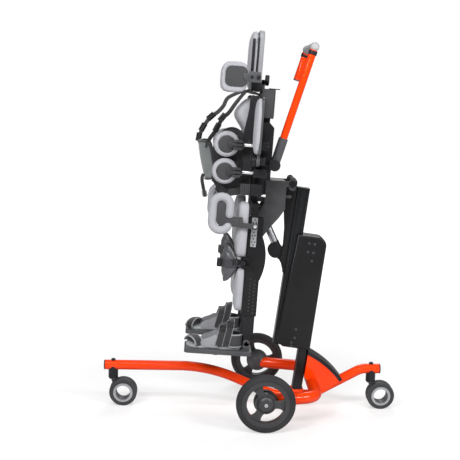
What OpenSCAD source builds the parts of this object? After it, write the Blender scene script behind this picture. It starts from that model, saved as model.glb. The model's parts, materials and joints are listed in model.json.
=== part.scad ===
// Standing frame: a padded board that tilts on a leaning lift mast, on a wheeled base.
// +Z is up, -X is the way the user faces, -Y is the user's left. Millimetres.

/* [Base] */
// Outside diameter of the front and rear booms
boom_od = 35; // [30:1:40]
// Wall of the base tubes and of the handle tube
tube_wall = 2.5; // [1.5:0.5:4]
// Height of the boom ends, floor to tube centre
boom_end_z = 148; // [140:1:165]
// Height of the low keel under the mast, floor to tube centre
keel_z = 46; // [42:1:52]
// Wheel axle to the front boom's end
front_reach = 568; // [520:1:640]
// Wheel axle to the rear boom's end
rear_reach = 432; // [425:1:480]
// Outside diameter of the U-shaped wheel arm
arm_od = 42; // [36:1:44]
// Angle at which each side of the wheel arm closes in towards the back
arm_splay = 16; // [10:1:20]

/* [Wheels] */
// Diameter of the large wheels
wheel_d = 203; // [196:1:215]
// Width of the large tyres
tyre_w = 35; // [28:1:38]
// Distance between the large wheels' centres
track = 560; // [520:2:620]
// Diameter of the large wheels' axles
axle_d = 12; // [8:1:16]
// Diameter of the hub housings on the wheel arm
housing_d = 82; // [76:1:92]

/* [Casters] */
// Diameter of the hubless caster rings
caster_d = 100; // [92:1:102]
// Width of one caster ring
ring_w = 18; // [12:1:24]
// Diameter of the open hole in the caster
caster_hole_d = 52; // [44:1:56]
// Stem axis to ring axis
caster_trail = 37; // [32:1:44]
// Diameter of the swivel stem
stem_d = 16; // [10:1:20]

/* [Mast] */
// Backward lean of the mast
mast_lean = 7; // [5:0.5:9]
// Wheel axle to the foot of the rear column, at keel height
mast_x = 131; // [125:1:136]
// Centre distance of the two columns
column_gap = 90; // [86:1:100]
// Depth and width of the fixed rear column
rear_column = [34, 46]; // [20:1:60]
// Depth and width of the lift column
lift_column_size = [46, 50]; // [30:1:60]
// Length of the lift column
lift_len = 574; // [540:1:640]
// Width of the mast covers over both halves
cover_w = 90; // [84:1:110]
// Height of the mast covers along the mast
cover_h = 411; // [400:1:430]
// Wall of the mast covers
cover_wall = 3; // [2:0.5:5]

/* [Tilt] */
// Diameter of the tilt pin
tilt_pin_d = 16; // [12:1:20]
// Distance over the tilt box's side plates
tilt_box_w = 120; // [114:1:130]
// Backward lean of the upright board
board_lean = 3; // [0:0.5:6]
// Diameter of the tilt actuator's outer tube
actuator_d = 27; // [22:1:29]
// Diameter of the tilt actuator's rod
rod_d = 16; // [10:1:17]

/* [Board] */
// Width of the back cushion
back_w = 200; // [160:2:210]
// Width of the spine housing
spine_w = 110; // [100:1:116]
// Diameter of the trunk lateral pads
lateral_d = 92; // [80:1:96]
// Clear width between the trunk lateral pads
trunk_w = 224; // [216:2:240]
// Diameter of the lateral guide rods
lateral_rod_d = 13; // [8:1:16]
// Thickness of the head pad
head_pad_t = 21; // [12:1:26]
// Clear width between the head laterals
head_w = 200; // [190:2:220]
// Centre distance of the two leg frames
leg_gap = 258; // [250:2:280]
// Width of each leg channel
leg_w = 48; // [40:1:54]
// Width of the thigh and calf pads
leg_pad_w = 92; // [70:1:100]
// Length of each footplate
foot_len = 250; // [220:1:270]
// Width of each footplate
foot_w = 106; // [96:1:112]
// Thickness of each footplate
foot_t = 16; // [10:1:20]

/* [Handle] */
// Outside diameter of the handle tube
handle_od = 25.4; // [22:0.1:30]
// Pivot to cross grip, along the post
handle_len = 420; // [380:1:460]
// Distance between the handle's two uprights
handle_w = 240; // [230:2:270]
// Outside diameter of the foam grip
grip_d = 36; // [32:1:42]

/* [Hidden] */
$fn = 48;

// Colours
paint = "orangered";
black = "#202224";
dark_grey = "#4a4c50";
pad_grey = "#a9abb4";
silver = "#c8cacc";

// Clearances: running fits, seated faces and moving neighbours
run_fit = 0.05;
seat = 0.2;
clear = 0.3;
joint_gap = 0.03;
left = -1;
right = 1;

// Base layout, X measured from the wheel axle
front_bend_x = -190;
front_low_x = 42;
rear_low_x = mast_x + 53;
rear_bend_x = rear_reach - 64;
cap_t = 4;
cap_plug = 14;
stem_inset = 29;
front_stem_x = stem_inset - front_reach;
rear_stem_x = rear_reach - stem_inset;
rear_tip = max(rear_stem_x + caster_trail + caster_d / 2, rear_reach + cap_t);
frame_x = (front_reach + cap_t - rear_tip) / 2;
mast_foot_size = [48, 48];
foot_below = 19;
foot_above = 26;
foot_top = keel_z + foot_above;
front_path = [
    [-front_reach, boom_end_z], [front_bend_x, boom_end_z],
    [front_low_x, keel_z], [mast_x - mast_foot_size[0] / 2, keel_z]
];
front_bends = [0, 530, 150, 0];
rear_path = [
    [mast_x + mast_foot_size[0] / 2, keel_z], [rear_low_x, keel_z],
    [rear_bend_x, boom_end_z], [rear_reach, boom_end_z]
];
rear_bends = [0, 70, 80, 0];
bolt_d = 8;
bolt_head = [16, 6];

// Large wheels
wheel_r = wheel_d / 2;
tyre_seat_r = wheel_r - tyre_w / 2 - 2;
rim_t = 10;
rim_w = tyre_w - 5;
hub_r = 32;
hub_dome = 14;
spoke_size = [30, 15];
housing_gap = 0.4;
housing_lip = 8;
arm_z = wheel_r - 3.5;
arm_start_x = axle_d / 2 + 6;
arm_start_y = track / 2 - 44;
arm_back_x = mast_x + 53;
arm_corner_y = arm_start_y - (arm_back_x - arm_start_x) * tan(arm_splay);
arm_path = [
    [arm_start_x, -arm_start_y], [arm_back_x, -arm_corner_y],
    [arm_back_x, arm_corner_y], [arm_start_x, arm_start_y]
];
arm_bends = [0, 60, 60, 0];

// Casters
caster_r = caster_d / 2;
journal_t = 4;
journal_r = caster_hole_d / 2 + journal_t;
rim_r = journal_r + 6;
ring_gap = 8;
neck_t = ring_gap - 1.2;
flange_t = 1.2;
sleeve_bottom = caster_d + 1.5;
shoulder_t = 4;
stem_top = sleeve_bottom + 22;

// Mast, in its own leaning frame: z along the mast, x to the rear, from the foot
rear_col_x = -3;
rear_col_front = rear_col_x - rear_column[0] / 2;
rear_col_rear = rear_col_x + rear_column[0] / 2;
rear_col_top = 560;
lift_x = rear_col_x - column_gap;
lift_front = lift_x - lift_column_size[0] / 2;
lift_rear = lift_x + lift_column_size[0] / 2;
lift_bottom = 184;
lift_top = lift_bottom + lift_len;
cover_bottom = 182;
cover_top = cover_bottom + cover_h;
cover_rear = rear_col_rear + 0.5 + cover_wall;
cover_front_top = lift_x + 3;
cover_front_low = lift_x - 16;
cover_top_r = 31;
groove = [4, 3];
guide_h = 24;
guide_z = [cover_bottom + 33, cover_top - 55];
guide_w = cover_w - 2 * cover_wall - 8;
lift_drive_d = 34;
lift_drive_x = (lift_rear + rear_col_front) / 2;
lift_drive_z = [cover_bottom + 8, cover_bottom + 218];
ram_d = 20;
ram_z = [lift_drive_z[0] + 2, lift_drive_z[1] + 30];
ram_lug = [15, 24];
cover_screw_d = 8;
cover_screw_h = 1.5;
cover_screws = [
    [lift_x + 47, cover_top - 26], [lift_x + 67, cover_top - 26], [lift_x + 47, cover_top - 57],
    [lift_x + 67, cover_top - 57], [lift_x + 66, cover_top - 87], [lift_x + 49, cover_bottom + 70],
    [lift_x + 49, cover_bottom + 38], [lift_x + 40, cover_bottom + 20], [lift_x + 42, cover_bottom + 7]
];

// Tilt bracket and actuator, in the mast's frame
pivot = [lift_front - 22, lift_top + 11];
act_low = [lift_front - 12, lift_top - 266];
act_pin_d = 12;
cheek_in = 16;
cheek_t = 6;
head_r = 20;
web_t = 5;
box_plate = 6;
pin_head = 4;
// Upper actuator eye, in the board's frame
act_eye = [-102.7, -103.5];
act_eye_r = 11;
turned = board_lean - mast_lean;
eye_in_mast = [
    pivot[0] + act_eye[0] * cos(turned) + act_eye[1] * sin(turned),
    pivot[1] - act_eye[0] * sin(turned) + act_eye[1] * cos(turned)
];
act_run = eye_in_mast - act_low;
act_len = norm(act_run);
act_angle = atan2(act_run[0], act_run[1]);
act_body_d = 30;
act_body_low = 6;
act_body_top = 70;
act_tube_top = act_len - 12.8;
rod_low = 10;
motor_d = 54;
motor_at = [-10, 40];
motor_w = 2 * cheek_in - 3;

// Board, in its own frame: z up the board, x to the rear, from the tilt pin
spine_rear = -80;
spine_mid = -95;
spine_front = -135;
spine_low = -70;
spine_top = 205;
board_t = 12;
board_front = spine_front - seat - board_t;
board_w = back_w - 4;
board_z = [-58, 296];
housing_x = [-140, -86];
housing_z = [spine_top + 15, 321];
post_size = [12, 30];
post_x = -128;
beam_x = [-140, -117.2];
beam_z = [-118, spine_low];
leg_front = -150;
leg_depth = 52;
leg_rear = leg_front + leg_depth;
leg_y = leg_gap / 2;
leg_out = leg_y + leg_w / 2;
leg_in = leg_y - leg_w / 2;
leg_low = -460;
leg_wall = 4;
slide_room_top = -165;
slide_top = -250;
ankle = [-124, -556];
ankle_r = 12;
ankle_pin_d = 10;
rod3_y = 40;
rod3_z = -48;
rod3_x = [-150, 0];
rod3_d = 13;

// Supports on the board
lateral_top_z = 126;
lateral_step = lateral_d + 0.6;
lateral_x = -243;
lateral_t = 28;
lateral_y = trunk_w / 2 + 13;
lateral_rod_x = [-192, -100];
socket_x = [-146, -101];
socket_w = 32;
socket_h = 28;
bar_x = [-130, -112];
arm_pivot = [190, 78];
arm_pin_d = 12;
arm_plate_x = [-143, -131];
arm_pad_z = [96, 288];
arm_pad_w = 84;
knob_d = 40;
handle_pivot = [-75, 65];
handle_pin_d = 16;
handle_tilt = 14.2;
handle_y = -handle_w / 2;
socket_od = handle_od + 7;
stub_len = 112;
head_z = [306, 508];
head_pad_w = 146;
head_shell_x = -165;
head_side_z = 356;
hip_z = -110;
hip_x = -246;
hip_plate_y = 5;
hip_y = leg_y + leg_pad_w / 2 + hip_plate_y + 2;
hip_tube_d = 30;
hip_half = [28.5, 53.5];
hip_rod = [-128, -142];
hip_rod_d = 12;
knee_z = -272;
knee_pin = [-158, leg_out + 9];
knee_pin_d = 8;
foot_front = ankle[0] - foot_len + 36;
foot_top_z = -581;
sandal_y = 36;

// Shoulder and waist webbing, points along the middle of each strap
web_w = 25;
web_thick = 2.5;
left_shoulder = [
    [-134, -70, 262], [-134, -70, 290], [-138, -70, 299], [-160, -70, 300.5], [-184, -70, 298],
    [-207, -71, 277], [-243, -73, 220], [-266, -75, 194], [-296, -77, 150], [-309, -78, 124], [-306, -78, 108]
];
right_shoulder = [
    [-134, 70, 262], [-134, 70, 290], [-138, 70, 299], [-166, 70, 300.5], [-196, 70, 298],
    [-256, 70, 265], [-291, 70, 212], [-314, 70, 155], [-315, 70, 122], [-311, 70, 107]
];
waist = [
    [-282, 78, 11], [-275, 86, 6], [-258, 100, -20], [-238, 110, -40],
    [-204, 116, -36], [-172, 119, -27], [-149, 119, -24]
];

// Tube paths: a polyline with a bend radius at each inner corner, drawn in the XY plane
function run(p, i) = p[i + 1] - p[i];
function heading(p, i) = atan2(run(p, i)[1], run(p, i)[0]);
function wrapped(a) = a > 180 ? a - 360 : a < -180 ? a + 360 : a;
function turn(p, i) = i == 0 || i == len(p) - 1 ? 0 : wrapped(heading(p, i) - heading(p, i - 1));
function setback(p, r, i) = r[i] * tan(abs(turn(p, i)) / 2);

// Points of a shallow arc from a to b that rises by sag to the left of the way from a to b
function arc_radius(a, b, sag) = (pow(norm(b - a) / 2, 2) + sag * sag) / (2 * sag);
function arc_points(a, b, sag, grow, n) =
    let (r = arc_radius(a, b, sag), mid = (a + b) / 2, way = (b - a) / norm(b - a))
    let (up = [-way[1], way[0]], centre = mid - up * (r - sag))
    let (half = asin(norm(b - a) / 2 / r), lead = atan2(up[1], up[0]))
    [for (i = [0 : n]) let (t = lead + half - 2 * half * i / n) centre + (r + grow) * [cos(t), sin(t)]];
function mast_point(x, z) = [
    mast_x + x * cos(mast_lean) + z * sin(mast_lean),
    keel_z - x * sin(mast_lean) + z * cos(mast_lean)
];
function reversed(v) = [for (i = [len(v) - 1 : -1 : 0]) v[i]];

module placed() translate([frame_x, 0, 0]) children();

module on_mast() placed() translate([mast_x, 0, keel_z]) rotate([0, mast_lean, 0]) children();

module on_board() on_mast() translate([pivot[0], 0, pivot[1]]) rotate([0, turned, 0]) children();

module sided(side) mirror([0, side < 0 ? 1 : 0, 0]) children();

module both_sides() {
    children();
    mirror([0, 1, 0]) children();
}

module block(x, y, z)
    translate([x[0], y[0], z[0]]) cube([x[1] - x[0], y[1] - y[0], z[1] - z[0]]);

// A plate drawn in the XZ plane that fills Y from y0 to y1
module slab(y0, y1)
    translate([0, y1, 0]) rotate([90, 0, 0]) linear_extrude(y1 - y0) children();

module y_rod(x, z, d, y0, y1)
    translate([x, y0, z]) rotate([-90, 0, 0]) cylinder(d = d, h = y1 - y0);

module x_rod(y, z, d, x0, x1)
    translate([x0, y, z]) rotate([0, 90, 0]) cylinder(d = d, h = x1 - x0);

module ring_section(od, wall) difference() {
    circle(d = od);
    if (wall > 0) circle(d = od - 2 * wall);
}

// Straights stop a hair short of the bends; a sleeve inside the wall joins each pair
module bent_tube(p, r, od, wall) {
    last = len(p) - 1;
    for (i = [0 : last - 1]) {
        from = i == 0 ? 0 : setback(p, r, i) + joint_gap;
        to = norm(run(p, i)) - (i == last - 1 ? 0 : setback(p, r, i + 1) + joint_gap);
        translate(p[i]) rotate(heading(p, i)) rotate([0, 90, 0]) {
            translate([0, 0, from]) linear_extrude(to - from) ring_section(od, wall);
            if (i > 0) tube_joint(from, od, wall);
            if (i < last - 1) tube_joint(to, od, wall);
        }
    }
    for (i = [1 : last - 1]) {
        t = turn(p, i);
        way = sign(t);
        translate(p[i]) rotate(heading(p, i - 1)) translate([-setback(p, r, i), way * r[i], 0])
            rotate(min(t, 0) - way * 90) rotate_extrude(angle = abs(t))
                translate([r[i], 0]) ring_section(od, wall);
    }
}

module tube_joint(z, od, wall) translate([0, 0, z - 3])
    linear_extrude(6) ring_section(od - 2 * clear, max(wall - 2 * clear, 0));

module rounded_section(size, r) {
    square([size[0], size[1] - 2 * r], center = true);
    square([size[0] - 2 * r, size[1]], center = true);
    for (x = [-1, 1], y = [-1, 1]) translate([x * (size[0] / 2 - r), y * (size[1] / 2 - r)]) circle(r);
}

// A crowned cushion: its back lies on x = 0 and its front faces -x. The sides draw in between the
// corners by waist, wrap bends the edges back, and bulge swells the front at one height.
function squared(c) = sign(c) * sqrt(abs(c));
function cushion_loop(w, h, inset, waist, n) = [for (i = [0 : n - 1])
    let (a = 360 * i / n, y = squared(cos(a)), z = squared(sin(a)))
    [(w / 2 - inset) * y * (1 - waist * (1 - z * z)), (h / 2 - inset) * z * (1 - waist * (1 - y * y))]];

module cushion(w, h, t, edge, crown, waist, wrap = 0, bulge = [0, 0, 1], n = 28) {
    front_in = min(w, h) / 2;
    levels = [
        [0, 0.5 * edge], [0.25 * t, 0], [0.7 * t, 0], [0.93 * t, 0.4 * edge], [t, edge],
        [t + 0.6 * crown, edge + 0.3 * front_in], [t + 0.92 * crown, edge + 0.6 * front_in]
    ];
    top = len(levels) - 1;
    loops = [for (l = levels) for (q = cushion_loop(w, h, l[1], waist, n))
        [-l[0] + wrap * pow(2 * q[0] / w, 2)
            - bulge[0] * min(1, l[0] / t) * exp(-pow((q[1] - bulge[1]) / bulge[2], 2)), q[0], q[1]]];
    tip = -t - crown - bulge[0] * exp(-pow(bulge[1] / bulge[2], 2));
    points = concat(loops, [[0, 0, 0], [tip, 0, 0]]);
    back = len(loops);
    sides = [for (k = [0 : top - 1], i = [0 : n - 1]) let (j = (i + 1) % n) each [
        [k * n + i, k * n + j, (k + 1) * n + j], [k * n + i, (k + 1) * n + j, (k + 1) * n + i]]];
    caps = [for (i = [0 : n - 1]) let (j = (i + 1) % n) each [
        [back, j, i], [back + 1, top * n + i, top * n + j]]];
    polyhedron(points, concat(sides, caps));
}

// Flat webbing that follows its points, its width along the unit vector across
module webbing(p, across) {
    last = len(p) - 1;
    rings = [for (i = [0 : last])
        let (out = cross(p[min(i + 1, last)] - p[max(i - 1, 0)], across))
        let (up = out / norm(out) * web_thick / 2, half = across * web_w / 2)
        each [p[i] - half - up, p[i] + half - up, p[i] + half + up, p[i] - half + up]];
    sides = [for (k = [0 : last - 1], i = [0 : 3]) let (j = (i + 1) % 4) each [
        [4 * k + i, 4 * k + 4 + i, 4 * k + 4 + j], [4 * k + i, 4 * k + 4 + j, 4 * k + j]]];
    ends = [[0, 1, 2], [0, 2, 3], [4 * last + 3, 4 * last + 2, 4 * last + 1],
        [4 * last + 3, 4 * last + 1, 4 * last]];
    polyhedron(rings, concat(sides, ends));
}

// Base
module front_tube(od, wall) rotate([90, 0, 0]) bent_tube(front_path, front_bends, od, wall);

module rear_tube(od, wall) rotate([90, 0, 0]) bent_tube(rear_path, rear_bends, od, wall);

module arm_tube(od, wall) translate([0, 0, arm_z]) bent_tube(arm_path, arm_bends, od, wall);

module bolt_hole(x) translate([x, 0, boom_end_z]) cylinder(d = bolt_d + 2 * seat, h = boom_od);

module front_boom() color(paint) placed() difference() {
    front_tube(boom_od, tube_wall);
    bolt_hole(front_stem_x);
}

module rear_boom() color(paint) placed() difference() {
    rear_tube(boom_od, tube_wall);
    bolt_hole(rear_stem_x);
}

module wheel_arm_tube() color(paint) placed() arm_tube(arm_od, tube_wall);

gusset_y = 36;
gusset_t = 3;
gusset_top = mast_point(rear_col_rear + clear, cover_bottom - 10);
gusset_front = mast_point(rear_col_rear + clear, cover_bottom - 104);
gusset_low = [mast_x + 87, keel_z + 12];
gusset_rear = [mast_x + 160, keel_z + 67];
gusset_sag = 10;
gusset_steps = 12;
gusset_webs = [mast_x + 96, mast_x + 130];
function gusset_arc(grow) = arc_points(gusset_top, gusset_rear, gusset_sag, grow, gusset_steps);

module gusset_outline() difference() {
    polygon(concat(gusset_arc(0), [gusset_low, gusset_front]));
    translate([arm_back_x, arm_z]) circle(d = arm_od + 2 * seat);
}

module rear_slope(od) translate([rear_path[1][0], 0, rear_path[1][1]])
    rotate([0, 90 - heading(rear_path, 1), 0]) cylinder(d = od, h = norm(run(rear_path, 1)));

module gusset_frame() color(paint) placed() {
    both_sides() slab(gusset_y - gusset_t, gusset_y) gusset_outline();
    half = gusset_y - gusset_t / 2;
    difference() {
        intersection() {
            slab(-half - 1, half + 1) gusset_outline();
            for (x = gusset_webs)
                block([x, x + gusset_t], [-half, half], [keel_z, boom_end_z + boom_od * 2]);
        }
        rear_slope(boom_od + 2 * seat);
    }
}

strip_t = 3;
strip_lip = 9;
module gusset_cover() color(black) placed() difference() {
    union() {
        slab(-gusset_y - strip_t, gusset_y + strip_t)
            polygon(concat(gusset_arc(seat), reversed(gusset_arc(strip_t))));
        both_sides() slab(gusset_y + seat, gusset_y + strip_t)
            polygon(concat(gusset_arc(-strip_lip), reversed(gusset_arc(seat))));
    }
    rear_slope(boom_od + 2 * seat);
}

module boom_cap(x, way) {
    translate([x, 0, boom_end_z]) rotate([0, 90 * way, 0]) cylinder(d = boom_od, h = cap_t);
    translate([x, 0, boom_end_z]) rotate([0, -90 * way, 0])
        cylinder(d = boom_od - 2 * tube_wall - 2 * seat, h = cap_plug);
}

module sleeve(x) translate([x, 0, 0]) difference() {
    translate([0, 0, sleeve_bottom]) cylinder(d = boom_od, h = boom_end_z - sleeve_bottom);
    cylinder(d = stem_d + 2 * run_fit, h = stem_top + clear);
    x_rod(0, boom_end_z, boom_od + 2 * seat, -boom_od, boom_od);
}

module boom_fittings() color(black) placed() {
    boom_cap(-front_reach, -1);
    boom_cap(rear_reach, 1);
    sleeve(front_stem_x);
    sleeve(rear_stem_x);
}

module caster_bolt(x) translate([x, 0, boom_end_z + boom_od / 2 + seat]) {
    cylinder(d1 = bolt_head[0], d2 = bolt_head[0] * 0.7, h = bolt_head[1]);
    translate([0, 0, -boom_od / 2]) cylinder(d = bolt_d, h = boom_od / 2);
}

module base_screws() color(dark_grey) {
    placed() {
        caster_bolt(front_stem_x);
        caster_bolt(rear_stem_x);
    }
    on_mast() both_sides() for (s = cover_screws)
        y_rod(s[0], s[1], cover_screw_d, cover_w / 2, cover_w / 2 + cover_screw_h);
}

module mast_foot() color(paint) placed()
    block([mast_x - mast_foot_size[0] / 2, mast_x + mast_foot_size[0] / 2],
        [-mast_foot_size[1] / 2, mast_foot_size[1] / 2], [keel_z - foot_below, foot_top]);

column_r = 5;
module rear_column_post() color(black) difference() {
    on_mast() translate([rear_col_x, 0, 0]) linear_extrude(rear_col_top)
        rounded_section(rear_column, column_r);
    placed() block([0, 2 * mast_x], [-track / 2, track / 2], [0, foot_top]);
}

module column_guides() color(dark_grey) on_mast() difference() {
    for (z = guide_z) block([lift_x + 10, rear_col_front], [-guide_w / 2, guide_w / 2], [z, z + guide_h]);
    translate([lift_x, 0, 0]) linear_extrude(lift_top) square(lift_column_size + 2 * [clear, clear], center = true);
    translate([lift_drive_x, 0, 0]) cylinder(d = lift_drive_d + 2 * seat, h = guide_z[1]);
    block([lift_x, rear_col_front + 1], [-ram_lug[1] / 2 - 4, ram_lug[1] / 2 + 4],
        [guide_z[1] - 1, guide_z[1] + guide_h + 1]);
}

module lift_actuator() color(silver) on_mast() difference() {
    translate([lift_drive_x, 0, lift_drive_z[0]])
        cylinder(d = lift_drive_d, h = lift_drive_z[1] - lift_drive_z[0]);
    translate([lift_drive_x, 0, ram_z[0] - 1]) cylinder(d = ram_d + 2 * run_fit, h = cover_h);
}

function cover_outline(d) = concat(
    [[cover_front_top + d, cover_top - d]],
    [for (a = [90 : -15 : 0])
        [cover_rear - cover_top_r, cover_top - cover_top_r] + (cover_top_r - d) * [cos(a), sin(a)]],
    [[cover_rear - d, cover_bottom + d]],
    arc_points([cover_front_low + 28, cover_bottom], [cover_front_low, cover_bottom + 44], 8, -d, 6)
);

module mast_cover() on_mast() difference() {
    slab(seat / 2, cover_w / 2) polygon(cover_outline(0));
    slab(-1, cover_w / 2 - cover_wall) polygon(cover_outline(cover_wall));
    block([lift_x - 60, lift_rear + clear], [-1, lift_column_size[1] / 2 + 2 * clear],
        [cover_bottom - 1, cover_top + 1]);
    block([rear_col_front - clear, rear_col_rear + clear], [-1, rear_column[1] / 2 + clear],
        [cover_bottom - 1, cover_bottom + cover_wall + 1]);
}

module left_mast_cover() color(black) sided(left) mast_cover();

module right_mast_cover() color(black) sided(right) mast_cover();

// Large wheels: z points away from the frame, along the axle
module on_axle(side) placed() translate([0, side * track / 2, wheel_r]) rotate([-90 * side, 0, 0]) children();

module hub_housing(side) on_axle(side) rotate_extrude() {
    base = -tyre_w / 2 - housing_gap - housing_lip;
    translate([0, base]) square([housing_d / 2, housing_lip]);
    intersection() {
        translate([0, base]) circle(d = housing_d);
        translate([0, base - housing_d]) square(housing_d);
    }
}

// The straight part of one side of the wheel arm, where its housing clasps it
module arm_end(side, grow) placed() sided(side)
    translate([arm_start_x, arm_start_y, arm_z]) rotate([0, 90, -arm_splay])
        translate([0, 0, -grow]) cylinder(d = arm_od + 2 * grow, h = housing_d);

module axle(side, grow) on_axle(side)
    translate([0, 0, -tyre_w / 2 - 28]) cylinder(d = axle_d + 2 * grow, h = tyre_w + 26);

module hub_housings() color(dark_grey) for (side = [left, right]) difference() {
    hub_housing(side);
    arm_end(side, seat);
    axle(side, run_fit);
}

module wheel_axles() color(silver) for (side = [left, right]) axle(side, 0);

module tyre(side) color(black) on_axle(side) rotate_extrude($fn = 96) difference() {
    translate([wheel_r - tyre_w / 2, 0]) circle(d = tyre_w);
    translate([0, -tyre_w]) square([tyre_seat_r, 2 * tyre_w]);
}

module wheel_centre(side) color(dark_grey) difference() {
    on_axle(side) {
        rotate_extrude($fn = 96) translate([tyre_seat_r - rim_t, -rim_w / 2])
            square([rim_t - run_fit, rim_w]);
        for (a = [90, 210, 330]) rotate(a) translate([0, -spoke_size[0] / 2, -spoke_size[1] / 2])
            cube([tyre_seat_r - rim_t / 2, spoke_size[0], spoke_size[1]]);
        translate([0, 0, -tyre_w / 2]) cylinder(r = hub_r, h = tyre_w);
        dome_r = (hub_r * hub_r + hub_dome * hub_dome) / (2 * hub_dome);
        intersection() {
            translate([0, 0, tyre_w / 2 + hub_dome - dome_r]) sphere(dome_r);
            cylinder(r = hub_r, h = tyre_w);
        }
    }
    axle(side, run_fit);
}

module left_tyre() tyre(left);

module left_wheel_centre() wheel_centre(left);

module right_tyre() tyre(right);

module right_wheel_centre() wheel_centre(right);

// Casters
module caster_fork(x) color(dark_grey) placed() translate([x, 0, 0]) {
    translate([0, 0, sleeve_bottom - clear - shoulder_t]) cylinder(d = boom_od - 6, h = shoulder_t);
    translate([0, 0, sleeve_bottom - clear]) cylinder(d = stem_d, h = stem_top - sleeve_bottom + clear);
    difference() {
        slab(-neck_t / 2, neck_t / 2) {
            polygon([[-stem_d / 2, sleeve_bottom - shoulder_t], [stem_d / 2, sleeve_bottom - shoulder_t],
                [caster_trail, caster_r + journal_r + 3], [caster_trail, caster_r],
                [caster_trail - journal_r, caster_r]]);
            translate([caster_trail, caster_r]) circle(journal_r + 6);
        }
        y_rod(caster_trail, caster_r, caster_hole_d, -neck_t, neck_t);
    }
    translate([caster_trail, 0, caster_r]) rotate([90, 0, 0]) rotate_extrude() {
        reach = ring_gap / 2 + ring_w + clear;
        translate([caster_hole_d / 2, -reach]) square([journal_t, 2 * reach]);
        for (y = [-reach - flange_t, reach]) translate([caster_hole_d / 2, y])
            square([journal_t + 3, flange_t]);
    }
}

module caster_ring(x, side) color(black) placed() translate([x + caster_trail, 0, caster_r])
    rotate([-90 * side, 0, 0]) translate([0, 0, ring_gap / 2]) {
        rotate_extrude() translate([journal_r + run_fit, 0])
            square([rim_r - journal_r - 3 * run_fit, ring_w]);
        rotate_extrude($fn = 96) {
            translate([rim_r, 0]) square([caster_r - rim_r - ring_w / 4, ring_w]);
            translate([rim_r, ring_w / 4]) square([caster_r - rim_r, ring_w / 2]);
            for (z = [1, 3]) translate([caster_r - ring_w / 4, z * ring_w / 4]) circle(ring_w / 4);
        }
    }

module front_caster_fork() caster_fork(front_stem_x);

module rear_caster_fork() caster_fork(rear_stem_x);

module front_left_ring() caster_ring(front_stem_x, left);

module front_right_ring() caster_ring(front_stem_x, right);

module rear_left_ring() caster_ring(rear_stem_x, left);

module rear_right_ring() caster_ring(rear_stem_x, right);

// Lift carriage
module lift_column() color(black) on_mast() difference() {
    translate([lift_x, 0, lift_bottom]) linear_extrude(lift_len) rounded_section(lift_column_size, column_r);
    both_sides() for (x = [lift_x - 11, lift_x + 11])
        block([x - groove[0] / 2, x + groove[0] / 2],
            [lift_column_size[1] / 2 - groove[1], lift_column_size[1]], [lift_bottom - 1, lift_top + 1]);
}

module lift_ram() color(silver) on_mast() {
    translate([lift_drive_x, 0, ram_z[0]]) cylinder(d = ram_d, h = ram_z[1] - ram_z[0]);
    block([lift_rear, lift_drive_x], [-ram_lug[1] / 2, ram_lug[1] / 2], [ram_z[1] - ram_lug[0], ram_z[1]]);
}

module bracket_cheek() {
    polygon([
        [lift_front - seat, lift_top - 318], [act_low[0] - 4, act_low[1] - 11],
        [act_low[0] - 11, act_low[1] + 4], [lift_front - 16, lift_top - 215],
        [lift_front - 20, lift_top - 157], [pivot[0] - head_r * 0.7, lift_top - 69],
        [pivot[0] - head_r, pivot[1]], [pivot[0], pivot[1] + head_r * 0.5],
        [lift_front - seat, lift_top]
    ]);
    translate(act_low) circle(act_pin_d);
    translate(pivot) circle(head_r);
}

module tilt_bracket() color(black) on_mast() difference() {
    union() {
        both_sides() slab(cheek_in, cheek_in + cheek_t) difference() {
            bracket_cheek();
            translate([lift_front - seat, lift_bottom]) square([lift_column_size[0], lift_len + 2]);
        }
        for (z = [[lift_top - 170, lift_top - 2], [lift_top - 312, lift_top - 290]])
            block([lift_front - seat - web_t, lift_front - seat], [-cheek_in - 1, cheek_in + 1], z);
    }
    y_rod(pivot[0], pivot[1], tilt_pin_d + 2 * run_fit, -tilt_box_w, tilt_box_w);
    y_rod(act_low[0], act_low[1], act_pin_d + 2 * run_fit, -tilt_box_w, tilt_box_w);
}

module pivot_pins() color(silver) on_mast() {
    y_rod(pivot[0], pivot[1], tilt_pin_d, -tilt_box_w / 2 - pin_head, tilt_box_w / 2 + pin_head);
    both_sides() y_rod(pivot[0], pivot[1], tilt_pin_d + 8, tilt_box_w / 2 + clear, tilt_box_w / 2 + pin_head);
    y_rod(act_low[0], act_low[1], act_pin_d, -cheek_in - cheek_t, cheek_in + cheek_t);
}

// Tilt actuator: z runs from its lower pin to its upper eye
module on_actuator() on_mast() translate([act_low[0], 0, act_low[1]]) rotate([0, act_angle, 0]) children();

module rod_bore() translate([0, 0, rod_low - 1]) cylinder(d = rod_d + 2 * run_fit, h = act_len);

module actuator_housing() color(black) on_actuator() difference() {
    union() {
        y_rod(0, 0, act_pin_d + 10, -motor_w / 2, motor_w / 2);
        translate([0, 0, act_body_low]) cylinder(d = act_body_d, h = act_body_top - act_body_low);
        y_rod(motor_at[0], motor_at[1], motor_d, -motor_w / 2, motor_w / 2);
    }
    y_rod(0, 0, act_pin_d + 2 * run_fit, -act_body_d, act_body_d);
    rod_bore();
}

module actuator_tube() color(silver) on_actuator() difference() {
    translate([0, 0, act_body_top]) cylinder(d = actuator_d, h = act_tube_top - act_body_top);
    rod_bore();
}

module actuator_rod() color(silver) on_actuator() difference() {
    union() {
        translate([0, 0, rod_low]) cylinder(d = rod_d, h = act_len - rod_low - act_eye_r / 2);
        y_rod(0, act_len, 2 * act_eye_r, 1.5 - rod_d / 2, rod_d / 2 - 1.5);
    }
    y_rod(0, act_len, act_pin_d, -rod_d, rod_d);
}

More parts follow.
